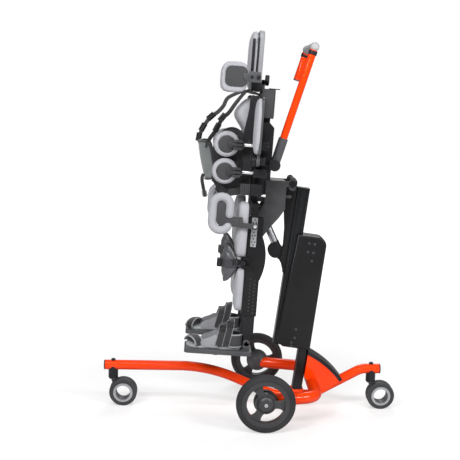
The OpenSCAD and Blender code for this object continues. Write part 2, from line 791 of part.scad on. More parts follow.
// Board
ear = [[-12, 12], [-25, 23]];
module tilt_plate() difference() {
    union() {
        polygon([[spine_mid + seat, 8], [-22, 8], [-20, -91], [-37, -120], [-72, -165], [-112, -228],
            [-117, -114], [spine_mid + seat, -76]]);
        translate([ear[0][0], ear[1][0] + 12]) square([ear[0][1] - ear[0][0], ear[1][1] - ear[1][0] - 24]);
        for (z = [ear[1][0] + 12, ear[1][1] - 12]) translate([0, z]) circle(ear[0][1]);
        translate([-24, -12]) square([24, 20]);
    }
    circle(d = tilt_pin_d + 2 * run_fit);
}

module tilt_box() color(dark_grey) on_board() {
    inner = tilt_box_w / 2 - box_plate;
    both_sides() {
        slab(inner, tilt_box_w / 2) tilt_plate();
        slab(rod_d / 2 + 1, rod_d / 2 + 6) {
            translate(act_eye) circle(act_eye_r);
            translate([-114, act_eye[1] - act_eye_r]) square([114 + act_eye[0], 2 * act_eye_r]);
        }
        difference() {
            block([-72, -50], [rod3_y - 12, inner + 1], [rod3_z - 12, rod3_z + 12]);
            x_rod(rod3_y, rod3_z, rod3_d, -80, -40);
        }
        x_rod(rod3_y, rod3_z, rod3_d, spine_mid + seat, rod3_x[1]);
    }
    block([spine_mid + seat, -27], [-inner - 1, inner + 1], [4, 8]);
    slab(-inner - 1, inner + 1) polygon([[-117, -114], [-113, -114], [-108, -228], [-112, -228]]);
}

module spine() color(black) on_board() difference() {
    union() {
        block([spine_front, spine_mid], [-spine_w / 2, spine_w / 2], [spine_low, spine_top]);
        slab(-spine_w / 2, spine_w / 2)
            polygon([[spine_mid - 1, 8 + seat], [spine_rear, 8 + seat], [spine_rear, spine_top - 16],
                [spine_rear - 16, spine_top], [spine_mid - 1, spine_top]]);
        block([spine_front, spine_mid], [-spine_w / 4, spine_w / 4], [spine_top - 1, housing_z[0] + 1]);
        block([spine_front, housing_x[1]], [-spine_w / 2, spine_w / 2], housing_z);
        block([housing_x[1] - 20, housing_x[1] + 18], [-20, 20], [housing_z[1], housing_z[1] + 3]);
    }
    block([spine_front - 1, post_x + post_size[0] / 2 + clear],
        [-post_size[1] / 2 - clear, post_size[1] / 2 + clear], [housing_z[0] + 5, housing_z[1] + 1]);
}

module back_board() color(black) on_board()
    block([board_front, board_front + board_t], [-board_w / 2, board_w / 2], board_z);

back_bulge = [42, 112, 46];
module back_cushion() color(pad_grey) on_board()
    translate([board_front - seat, 0, (board_z[0] + board_z[1]) / 2])
        cushion(back_w, board_z[1] - board_z[0] - 2, 26, 12, 8, 0.03, 0, back_bulge, 40);

module support_brackets() color(black) on_board() {
    half = spine_w / 2;
    both_sides() {
        for (k = [0, 1]) {
            z = lateral_top_z - k * lateral_step;
            difference() {
                union() {
                    block([board_front + board_t + 4, socket_x[1]], [half, lateral_y - socket_w / 2],
                        [z - 10, z + 10]);
                    block(socket_x, [lateral_y - socket_w / 2, lateral_y + socket_w / 2],
                        [z - socket_h / 2, z + socket_h / 2]);
                }
                x_rod(lateral_y, z, lateral_rod_d + 2 * run_fit, socket_x[0] - 1, socket_x[1] + 1);
            }
        }
        block(bar_x, [half, arm_pivot[0] + 12], [arm_pivot[1] - 12, arm_pivot[1] + 12]);
        x_rod(arm_pivot[0], arm_pivot[1], arm_pin_d, arm_plate_x[0] - 4, bar_x[0]);
        x_rod(arm_pivot[0], arm_pivot[1], knob_d, arm_plate_x[0] - 14, arm_plate_x[0] - 2);
        block(bar_x, [half, 104], [-36, -12]);
        block([-150, bar_x[1]], [104, 136], [-44, -4]);
    }
    sided(left) {
        slab(half, half + 6) translate(handle_pivot) {
            circle(22);
            translate([-40, -22]) square([40, 44]);
        }
        y_rod(handle_pivot[0], handle_pivot[1], handle_pin_d, half + 5, -handle_y + 30);
        y_rod(handle_pivot[0], handle_pivot[1], 2 * handle_pin_d, half + 5, -handle_y - 20);
        y_rod(handle_pivot[0], handle_pivot[1], 38, -handle_y + 20, -handle_y + 30);
    }
}

knee_arc = [[-99, -175], [-99, -338]];
module leg_frame() difference() {
    union() {
        slab(leg_in, leg_out) translate([leg_front, leg_low]) square([leg_depth, beam_z[0] - leg_low]);
        for (y = [leg_in, leg_out - leg_wall]) slab(y, y + leg_wall)
            polygon(arc_points(knee_arc[0], knee_arc[1], 18, 0, 12));
        for (z = [knee_z - 16, knee_z + 10])
            block([knee_pin[0] - 7, knee_pin[0] + 24], [leg_out - 1, knee_pin[1] + 7], [z, z + 6]);
        translate([knee_pin[0], knee_pin[1], knee_z - 12]) cylinder(d = knee_pin_d, h = 24);
    }
    block([leg_front + leg_wall, leg_rear - leg_wall], [leg_in + leg_wall, leg_out - leg_wall],
        [leg_low - 1, slide_room_top]);
    y_rod(hip_rod[0], hip_rod[1], hip_rod_d + 2 * run_fit, leg_in - 1, leg_out + 1);
}

module leg_frames() color(black) on_board() {
    both_sides() leg_frame();
    block(beam_x, [-leg_out, leg_out], beam_z);
}

thigh_z = [-253, -63];
calf_z = [-443, -286];
module leg_pads() color(pad_grey) on_board() both_sides() {
    translate([leg_front - clear, leg_y, (thigh_z[0] + thigh_z[1]) / 2])
        cushion(leg_pad_w, thigh_z[1] - thigh_z[0], 34, 12, 7, 0.03);
    translate([leg_front - clear, leg_y, (calf_z[0] + calf_z[1]) / 2])
        cushion(leg_pad_w - 8, calf_z[1] - calf_z[0], 30, 12, 6, 0.03);
}

vest_z = [-14, 132];
vest_w = 196;
module chest_vest() color(dark_grey) on_board()
    translate([-318, 0, (vest_z[0] + vest_z[1]) / 2]) rotate([0, -14, 0])
        cushion(vest_w, vest_z[1] - vest_z[0], 9, 5, 3, 0.06, 44);

module harness_straps() color(black) on_board() {
    webbing(left_shoulder, [0, 1, 0]);
    webbing(right_shoulder, [0, 1, 0]);
    both_sides() webbing(waist, [0, 0, 1]);
}

// Handle: z runs up the post from its pivot
module on_handle() on_board() translate([handle_pivot[0], 0, handle_pivot[1]]) rotate([0, handle_tilt, 0]) children();

handle_path = [
    [handle_y, 40], [handle_y, handle_len], [-handle_y, handle_len], [-handle_y, handle_len - stub_len]
];
handle_bends = [0, 28, 28, 0];
module handle_tube() color(paint) on_handle() rotate([90, 0, 90])
    bent_tube(handle_path, handle_bends, handle_od, tube_wall);

module handle_socket() color(dark_grey) on_handle() {
    difference() {
        union() {
            translate([0, handle_y, 10]) cylinder(d = socket_od, h = 86);
            y_rod(0, 0, 40, handle_y - 18, handle_y + 18);
        }
        translate([0, handle_y, 40]) cylinder(d = handle_od + 2 * seat, h = handle_len);
        y_rod(0, 0, handle_pin_d + 2 * run_fit, handle_y - 30, handle_y + 30);
    }
    translate([0, -handle_y, handle_len - stub_len - 4]) cylinder(d = handle_od, h = 4);
}

module handle_grip() color(dark_grey) on_handle() difference() {
    y_rod(0, handle_len, grip_d, handle_y + handle_bends[1], -handle_y - handle_bends[1]);
    y_rod(0, handle_len, handle_od + 2 * seat, handle_y, -handle_y);
}

// Head support
module head_frame() color(black) on_board() {
    half = head_w / 2 + lateral_t;
    shell_w = head_pad_w / 2;
    block([head_shell_x, head_shell_x + 7], [-shell_w, shell_w], head_z);
    block([head_shell_x + 6, head_shell_x + 9], [-50, 50], [head_z[0] + 20, head_z[1] - 20]);
    block([head_shell_x + 8, head_shell_x + 19], [-62, 62], [head_z[0] + 4, head_z[1] - 4]);
    block([head_shell_x + 18, post_x + post_size[0] / 2], [-post_size[1] / 2, post_size[1] / 2],
        [head_z[0] + 27, head_z[0] + 46]);
    block([post_x - post_size[0] / 2, post_x + post_size[0] / 2], [-post_size[1] / 2, post_size[1] / 2],
        [housing_z[0] + 20, head_z[0] + 46]);
    x_rod(0, head_z[0] + 46, knob_d, post_x + post_size[0] / 2, post_x + post_size[0] / 2 + 14);
    both_sides() {
        block([head_shell_x + 8, head_shell_x + 19], [60, half + seat + 4], [head_side_z - 12, head_side_z + 12]);
        block([-262, head_shell_x + 19], [half + seat, half + seat + 4], [head_side_z - 16, head_side_z + 16]);
    }
}

module head_pads() color(pad_grey) on_board() {
    translate([head_shell_x - seat, 0, (head_z[0] + head_z[1]) / 2])
        cushion(head_pad_w, head_z[1] - head_z[0], head_pad_t - 5, 8, 5, 0.03);
    both_sides() translate([-235, head_w / 2 + lateral_t, head_side_z]) rotate([0, 0, 90])
        mirror([1, 0, 0]) rotate([0, 0, 180]) cushion(92, 102, lateral_t - 5, 9, 5, 0.02);
}

// Arm supports
module arm_support(side) on_board() sided(side) {
    color(black) difference() {
        union() {
            block(arm_plate_x, [arm_pivot[0] - arm_pad_w / 2, arm_pivot[0] + arm_pad_w / 2], arm_pad_z);
            block(arm_plate_x, [arm_pivot[0] - 18, arm_pivot[0] + 18], [arm_pivot[1], arm_pad_z[0] + 1]);
            x_rod(arm_pivot[0], arm_pivot[1], 36, arm_plate_x[0], arm_plate_x[1]);
        }
        x_rod(arm_pivot[0], arm_pivot[1], arm_pin_d + 2 * run_fit, arm_plate_x[0] - 1, arm_plate_x[1] + 1);
    }
    color(pad_grey) translate([arm_plate_x[0] - seat, arm_pivot[0], (arm_pad_z[0] + arm_pad_z[1] + 12) / 2])
        cushion(arm_pad_w - 4, arm_pad_z[1] - arm_pad_z[0] - 16, 13, 8, 4, 0.03);
}

module left_arm_support() arm_support(left);

module right_arm_support() arm_support(right);

// Trunk laterals: a foam disc on a plate, clamped to a rod that slides in its socket
module trunk_lateral(side, k) on_board() sided(side) {
    z = lateral_top_z - k * lateral_step;
    inner = trunk_w / 2;
    outer = inner + lateral_t;
    color(pad_grey) translate([lateral_x, inner, z]) rotate([-90, 0, 0]) rotate_extrude() {
        square([lateral_d / 2 - 12, lateral_t]);
        translate([0, 10]) square([lateral_d / 2, lateral_t - 22]);
        translate([lateral_d / 2 - 12, lateral_t - 12]) circle(12);
        translate([lateral_d / 2 - 12, 12]) difference() {
            circle(12);
            translate([-13, 0]) square(26);
        }
    }
    color(dark_grey) {
        y_rod(lateral_x, z, lateral_d * 0.63, outer + seat, outer + 5);
        block([lateral_x + 10, lateral_rod_x[0] + 8], [outer + seat, outer + 9], [z - 11, z + 11]);
        block([lateral_rod_x[0] - 4, lateral_rod_x[0] + 8], [lateral_y - 11, outer + 9], [z - 11, z + 11]);
        y_rod(lateral_x + 28, z, 30, outer + 8, outer + 20);
        x_rod(lateral_y, z, lateral_rod_d, lateral_rod_x[0], lateral_rod_x[1]);
    }
}

module upper_left_lateral() trunk_lateral(left, 0);

module lower_left_lateral() trunk_lateral(left, 1);

module upper_right_lateral() trunk_lateral(right, 0);

module lower_right_lateral() trunk_lateral(right, 1);

// Hip laterals: a C of round foam about a plate, on a rod that slides sideways in the leg frame
hip_path = [
    [hip_half[0], 2], [hip_half[0], hip_half[1]], [-hip_half[0], hip_half[1]],
    [-hip_half[0], -hip_half[1]], [hip_half[0], -hip_half[1]], [hip_half[0], 30 - hip_half[1]]
];
hip_bends = [0, 28, 28, 28, 28, 0];
module hip_lateral(side) on_board() sided(side) {
    slot = hip_half[0] - hip_tube_d / 2 - seat;
    color(pad_grey) translate([hip_x, hip_y, hip_z]) rotate([90, 0, 0])
        bent_tube(hip_path, hip_bends, hip_tube_d, 0);
    color(dark_grey) {
        translate([hip_x, 0, hip_z]) slab(hip_y - hip_plate_y, hip_y + hip_plate_y) {
            translate([-slot, -hip_half[1] + 28]) square([2 * slot, 2 * hip_half[1] - 56]);
            for (z = [-1, 1]) translate([0, z * (hip_half[1] - 28)]) circle(slot);
            translate([0, -37]) square([hip_rod[0] + 10 - hip_x, 30]);
        }
        y_rod(hip_rod[0], hip_rod[1], hip_rod_d, leg_in + 2, hip_y);
    }
}

module left_hip_lateral() hip_lateral(left);

module right_hip_lateral() hip_lateral(right);

// Knee supports: a cupped shell in front of the knee, on an upright pin beside the leg
cup_r = 36;
cup_t = 5;
cup_h = 150;
cup_x = -197;
module knee_support(side) color(dark_grey) on_board() sided(side) difference() {
    union() {
        translate([knee_pin[0], knee_pin[1], knee_z - 10 + clear]) cylinder(d = 16, h = 20 - 2 * clear);
        translate([cup_x, leg_y, knee_z - cup_h / 2]) intersection() {
            difference() {
                cylinder(r = cup_r, h = cup_h);
                translate([0, 0, -1]) cylinder(r = cup_r - cup_t, h = cup_h + 2);
            }
            translate([0, cup_r + 1, cup_h / 2]) rotate([90, 0, 0]) linear_extrude(2 * cup_r + 2)
                polygon([[2, -14], [2, 14], [-10, cup_h / 2 + 1], [-cup_r - 1, cup_h / 2 + 1],
                    [-cup_r - 1, -cup_h / 2 - 1], [-10, -cup_h / 2 - 1]]);
        }
        block([cup_x - 4, knee_pin[0]], [leg_y + cup_r - cup_t, leg_y + cup_r + 2], [knee_z - 9, knee_z + 9]);
        y_rod(knee_pin[0], knee_z, 18, knee_pin[1], knee_pin[1] + 20);
    }
    translate([knee_pin[0], knee_pin[1], knee_z - 20]) cylinder(d = knee_pin_d + 2 * run_fit, h = 40);
}

module left_knee_support() knee_support(left);

module right_knee_support() knee_support(right);

// Foot slides and footplates
module foot_slide(side) color(black) on_board() sided(side) difference() {
    half = leg_w / 2 - leg_wall - clear;
    union() {
        block([leg_front + leg_wall + clear, leg_rear - leg_wall - clear], [leg_y - half, leg_y + half],
            [ankle[1] + 22, slide_top]);
        slab(leg_y - half, leg_y + half) translate(ankle) {
            circle(ankle_r);
            translate([-ankle_r, 0]) square([2 * ankle_r, 23]);
        }
    }
    y_rod(ankle[0], ankle[1], ankle_pin_d + 2 * run_fit, leg_in, leg_out);
}

module left_foot_slide() foot_slide(left);

module right_foot_slide() foot_slide(right);

module sandal_shape() {
    translate([foot_front + 42, 0]) circle(sandal_y);
    translate([foot_front + 42, -sandal_y]) square([foot_len - 128, 2 * sandal_y]);
    translate([foot_front + foot_len - 86, 0]) circle(sandal_y);
}

module footplate(side) color(dark_grey) on_board() sided(side) {
    half = leg_w / 2 - leg_wall;
    ear_y = half + clear;
    translate([0, leg_y, foot_top_z - foot_t]) linear_extrude(foot_t) {
        translate([foot_front + 12, -foot_w / 2]) square([foot_len - 24, foot_w]);
        translate([foot_front, 12 - foot_w / 2]) square([foot_len, foot_w - 24]);
        for (x = [foot_front + 12, foot_front + foot_len - 12], y = [12 - foot_w / 2, foot_w / 2 - 12])
            translate([x, y]) circle(12);
    }
    for (y = [leg_y - ear_y - 6, leg_y + ear_y]) slab(y, y + 6) translate(ankle) {
        circle(ankle_r);
        translate([-ankle_r, foot_top_z - ankle[1] - 1]) square([2 * ankle_r, ankle[1] - foot_top_z + 1]);
    }
    y_rod(ankle[0], ankle[1], ankle_pin_d, leg_y - ear_y - 6, leg_y + ear_y + 6);
    translate([foot_front + 110, leg_y, foot_top_z - foot_t - 14]) cylinder(d = 18, h = 15);
    translate([0, leg_y, foot_top_z - 1]) linear_extrude(9) sandal_shape();
    translate([0, leg_y, foot_top_z]) difference() {
        linear_extrude(52) sandal_shape();
        translate([0, 0, 8]) linear_extrude(52) intersection() {
            translate([foot_front + 42 - sandal_y, 4 - sandal_y]) square([foot_len - 56, 2 * sandal_y - 8]);
            sandal_shape();
        }
    }
}

module left_footplate() footplate(left);

module right_footplate() footplate(right);

front_boom();
rear_boom();
wheel_arm_tube();
gusset_frame();
gusset_cover();
boom_fittings();
base_screws();
mast_foot();
rear_column_post();
column_guides();
lift_actuator();
left_mast_cover();
right_mast_cover();
hub_housings();
wheel_axles();
left_tyre();
left_wheel_centre();
right_tyre();
right_wheel_centre();
front_caster_fork();
rear_caster_fork();
front_left_ring();
front_right_ring();
rear_left_ring();
rear_right_ring();
lift_column();
lift_ram();
tilt_bracket();
pivot_pins();
actuator_housing();
actuator_tube();
actuator_rod();
tilt_box();
spine();
back_board();
back_cushion();
support_brackets();
leg_frames();
leg_pads();
chest_vest();
harness_straps();
handle_tube();
handle_socket();
handle_grip();
head_frame();
head_pads();
left_arm_support();
right_arm_support();
upper_left_lateral();
lower_left_lateral();
upper_right_lateral();
lower_right_lateral();
left_hip_lateral();
right_hip_lateral();
left_knee_support();
right_knee_support();
left_foot_slide();
right_foot_slide();
left_footplate();
right_footplate();
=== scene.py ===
import json
import math

import bmesh
import bpy
from mathutils import Matrix, Vector


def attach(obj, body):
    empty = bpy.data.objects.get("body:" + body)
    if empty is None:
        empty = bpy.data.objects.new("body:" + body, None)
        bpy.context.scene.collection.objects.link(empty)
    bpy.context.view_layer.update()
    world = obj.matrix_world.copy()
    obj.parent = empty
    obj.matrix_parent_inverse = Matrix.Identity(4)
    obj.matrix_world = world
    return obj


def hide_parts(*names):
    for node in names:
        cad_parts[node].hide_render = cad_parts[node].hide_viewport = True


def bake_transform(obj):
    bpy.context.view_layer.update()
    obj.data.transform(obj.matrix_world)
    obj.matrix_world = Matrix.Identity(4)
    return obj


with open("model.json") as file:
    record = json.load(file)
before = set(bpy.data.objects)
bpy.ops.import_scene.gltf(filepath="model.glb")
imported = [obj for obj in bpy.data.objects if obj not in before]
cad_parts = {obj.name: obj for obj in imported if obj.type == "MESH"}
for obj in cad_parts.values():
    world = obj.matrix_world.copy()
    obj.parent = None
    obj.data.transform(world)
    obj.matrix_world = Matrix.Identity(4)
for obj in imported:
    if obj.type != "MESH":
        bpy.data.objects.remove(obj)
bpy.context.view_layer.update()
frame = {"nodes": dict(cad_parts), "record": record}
scene = bpy.context.scene
scene.view_settings.view_transform = "Standard"
print("frame loaded", len(frame["nodes"]), "nodes")

mm = 0.001
still = Matrix.Identity(4)
sideNames = {-1: "left", 1: "right"}


# Places on the object, in millimetres, leaning as the solids do
def turned(degrees, axis):
    return Matrix.Rotation(math.radians(degrees), 4, axis)


def moved(x, y, z):
    return Matrix.Translation((x, y, z))


layout = {"baseX": 41.0, "mastX": 131.0, "keelZ": 46.0, "mastLean": 7.0, "boardLean": 3.0,
          "pivot": (-138.0, 769.0), "handlePivot": (-75.0, 65.0), "handleTilt": 14.2,
          "wheelR": 101.5, "track": 560.0, "casterX": {"front": -539.0, "rear": 403.0}}
baseFrame = Matrix.Scale(mm, 4) @ moved(layout["baseX"], 0, 0)
mastFrame = baseFrame @ moved(layout["mastX"], 0, layout["keelZ"]) @ turned(layout["mastLean"], "Y")
boardFrame = (mastFrame @ moved(layout["pivot"][0], 0, layout["pivot"][1])
              @ turned(layout["boardLean"] - layout["mastLean"], "Y"))
handleFrame = (boardFrame @ moved(layout["handlePivot"][0], 0, layout["handlePivot"][1])
               @ turned(layout["handleTilt"], "Y"))


def onSide(place, side):
    return place @ Matrix.Scale(side, 4, (0, 1, 0))


def wheelFrame(side):
    return baseFrame @ moved(0, side * layout["track"] / 2, layout["wheelR"]) @ turned(-90 * side, "X")


# Camera and light, set to the photograph's view
view = {"place": (-0.1906, -3.3297, 1.1301), "pitch": 8.185, "yaw": 1.812, "roll": 1.374,
        "focal": 940.84, "pixels": 460, "sensor": 36}


def makeCamera():
    pitch, yaw, roll = (math.radians(view[k]) for k in ("pitch", "yaw", "roll"))
    ahead = Vector((math.sin(yaw) * math.cos(pitch), math.cos(yaw) * math.cos(pitch), -math.sin(pitch)))
    across = Vector((math.cos(yaw), -math.sin(yaw), 0))
    above = across.cross(ahead)
    rightOf = across * math.cos(roll) + above * math.sin(roll)
    upOf = above * math.cos(roll) - across * math.sin(roll)
    data = bpy.data.cameras.new("studioCamera")
    data.sensor_width = view["sensor"]
    data.lens = view["sensor"] * view["focal"] / view["pixels"]
    camera = bpy.data.objects.new("studioCamera", data)
    scene.collection.objects.link(camera)
    camera.matrix_world = Matrix.Translation(view["place"]) @ Matrix(
        (rightOf, upOf, -ahead)).transposed().to_4x4()
    scene.camera = camera


studio = {"fill": 0.26, "aim": (0, 0, 0.6),
          "lamps": (((-1.8, -2.8, 2.6), (1.2, 1.2), 68.0), ((2.4, -2.2, 2.2), (1.0, 1.0), 54.0),
                    ((0.4, 2.6, 2.8), (2.0, 2.0), 58.0), ((-0.1, -2.4, 3.2), (3.6, 0.22), 58.0)),
          "floorReach": 14, "floorFade": (0.7, 2.6), "floorGlow": (0.54, 1.0), "floorTone": 0.428,
          "floorBounce": 0.8}


def spanNode(nodes, links, source, low, high, start=0.0, end=1.0):
    span = nodes.new("ShaderNodeMapRange")
    for label, value in (("From Min", start), ("From Max", end), ("To Min", low), ("To Max", high)):
        span.inputs[label].default_value = value
    links.new(source, span.inputs["Value"])
    return span.outputs["Result"]


def makeWorld():
    world = bpy.data.worlds.new("studioWorld")
    scene.world = world
    world.use_nodes = True
    nodes, links = world.node_tree.nodes, world.node_tree.links
    glow = nodes["Background"]
    glow.inputs["Color"].default_value = (1, 1, 1, 1)
    seen = nodes.new("ShaderNodeLightPath")
    links.new(spanNode(nodes, links, seen.outputs["Is Camera Ray"], studio["fill"], 1.0), glow.inputs["Strength"])


def makeLamps():
    for i, (place, size, power) in enumerate(studio["lamps"]):
        data = bpy.data.lights.new(f"softbox{i}", "AREA")
        data.shape = "ELLIPSE"
        data.size, data.size_y = size
        data.energy = power
        lamp = bpy.data.objects.new(f"softbox{i}", data)
        scene.collection.objects.link(lamp)
        aim = Vector(studio["aim"]) - Vector(place)
        lamp.matrix_world = Matrix.Translation(place) @ aim.to_track_quat("-Z", "Y").to_matrix().to_4x4()


def greyDiffuse(nodes, tone):
    shade = nodes.new("ShaderNodeBsdfDiffuse")
    shade.inputs["Color"].default_value = (tone, tone, tone, 1)
    return shade.outputs[0]


# The floor glows a little to the camera alone, and more with distance, so that it ends in the background
def makeFloor():
    reach = studio["floorReach"]
    mesh = bpy.data.meshes.new("studioFloor")
    mesh.from_pydata([(-reach, -reach, 0), (reach, -reach, 0), (reach, reach, 0), (-reach, reach, 0)],
                     [], [(0, 1, 2, 3)])
    floor = bpy.data.objects.new("studioFloor", mesh)
    scene.collection.objects.link(floor)
    mat = bpy.data.materials.new("paleFloor")
    mat.use_nodes = True
    nodes, links = mat.node_tree.nodes, mat.node_tree.links
    nodes.remove(nodes["Principled BSDF"])
    spot = nodes.new("ShaderNodeTexCoord")
    radius = nodes.new("ShaderNodeVectorMath")
    radius.operation = "LENGTH"
    links.new(spot.outputs["Object"], radius.inputs[0])
    lift = nodes.new("ShaderNodeEmission")
    links.new(spanNode(nodes, links, radius.outputs["Value"], *studio["floorGlow"], *studio["floorFade"]),
              lift.inputs["Strength"])
    both = nodes.new("ShaderNodeAddShader")
    links.new(greyDiffuse(nodes, studio["floorTone"]), both.inputs[0])
    links.new(lift.outputs[0], both.inputs[1])
    seen = nodes.new("ShaderNodeLightPath")
    pick = nodes.new("ShaderNodeMixShader")
    links.new(seen.outputs["Is Camera Ray"], pick.inputs[0])
    links.new(greyDiffuse(nodes, studio["floorBounce"]), pick.inputs[1])
    links.new(both.outputs[0], pick.inputs[2])
    links.new(pick.outputs[0], nodes["Material Output"].inputs["Surface"])
    mesh.materials.append(mat)


makeCamera()
makeWorld()
makeLamps()
makeFloor()

# Finishes: two tones in soft clouds, a fine relief, and a roughness that follows it
texture = {"threadWander": 0.6, "grainDetail": 6, "cloudDetail": 5, "toneStops": (0.35, 0.68)}
plainLook = {"metal": 0, "coat": 0, "coatRough": 0.06, "sheen": 0, "shine": 0.5, "stretch": (1, 1, 1),
             "onUv": False, "axes": ("X", "Y"), "toneScale": 9, "gapShade": 1, "edge": 1, "depth": 0.2,
             "height": 0.0004}
shaderInputs = {"Metallic": "metal", "Coat Weight": "coat", "Coat Roughness": "coatRough",
                "Sheen Weight": "sheen", "Specular IOR Level": "shine"}


def reliefNodes(nodes, links, vector, look):
    if look["relief"] == "weave":
        cross = nodes.new("ShaderNodeMath")
        cross.operation = "MAXIMUM"
        for i, axis in enumerate(look["axes"]):
            thread = nodes.new("ShaderNodeTexWave")
            thread.bands_direction = axis
            thread.inputs["Scale"].default_value = look["scale"]
            thread.inputs["Distortion"].default_value = texture["threadWander"]
            links.new(vector, thread.inputs["Vector"])
            links.new(thread.outputs["Fac"], cross.inputs[i])
        return cross.outputs[0]
    cells = look["relief"] == "cells"
    grain = nodes.new("ShaderNodeTexVoronoi" if cells else "ShaderNodeTexNoise")
    grain.inputs["Scale"].default_value = look["scale"]
    links.new(vector, grain.inputs["Vector"])
    if cells:
        return grain.outputs["Distance"]
    grain.inputs["Detail"].default_value = texture["grainDetail"]
    return grain.outputs["Fac"]


def finishMaterial(name, given):
    look = plainLook | given
    mat = bpy.data.materials.new(name)
    mat.use_nodes = True
    nodes, links = mat.node_tree.nodes, mat.node_tree.links
    shader = nodes["Principled BSDF"]
    for label, key in shaderInputs.items():
        shader.inputs[label].default_value = look[key]
    coords = nodes.new("ShaderNodeTexCoord")
    spread = nodes.new("ShaderNodeMapping")
    spread.inputs["Scale"].default_value = look["stretch"]
    links.new(coords.outputs["UV" if look["onUv"] else "Object"], spread.inputs["Vector"])
    clouds = nodes.new("ShaderNodeTexNoise")
    clouds.inputs["Scale"].default_value = look["toneScale"]
    clouds.inputs["Detail"].default_value = texture["cloudDetail"]
    links.new(coords.outputs["Object"], clouds.inputs["Vector"])
    tone = nodes.new("ShaderNodeValToRGB")
    for stop, colour, at in zip(tone.color_ramp.elements, look["tones"], texture["toneStops"]):
        stop.color = (*colour, 1)
        stop.position = at
    links.new(clouds.outputs["Fac"], tone.inputs["Fac"])
    relief = reliefNodes(nodes, links, spread.outputs["Vector"], look)
    turn = nodes.new("ShaderNodeLayerWeight")
    colour = tone.outputs["Color"]
    # Painted shade: darker between threads or cells, and darker where gloss paint turns away from the view
    for source, ends in ((relief, (look["gapShade"], 1)), (turn.outputs["Facing"], (1, look["edge"]))):
        mix = nodes.new("ShaderNodeMix")
        mix.data_type = "RGBA"
        mix.blend_type = "MULTIPLY"
        mix.inputs["Factor"].default_value = 1
        links.new(colour, mix.inputs["A"])
        links.new(spanNode(nodes, links, source, *ends), mix.inputs["B"])
        colour = mix.outputs["Result"]
    links.new(colour, shader.inputs["Base Color"])
    links.new(spanNode(nodes, links, relief, *look["rough"]), shader.inputs["Roughness"])
    bump = nodes.new("ShaderNodeBump")
    bump.inputs["Strength"].default_value = look["depth"]
    bump.inputs["Distance"].default_value = look["height"]
    links.new(relief, bump.inputs["Height"])
    links.new(bump.outputs["Normal"], shader.inputs["Normal"])
    return mat


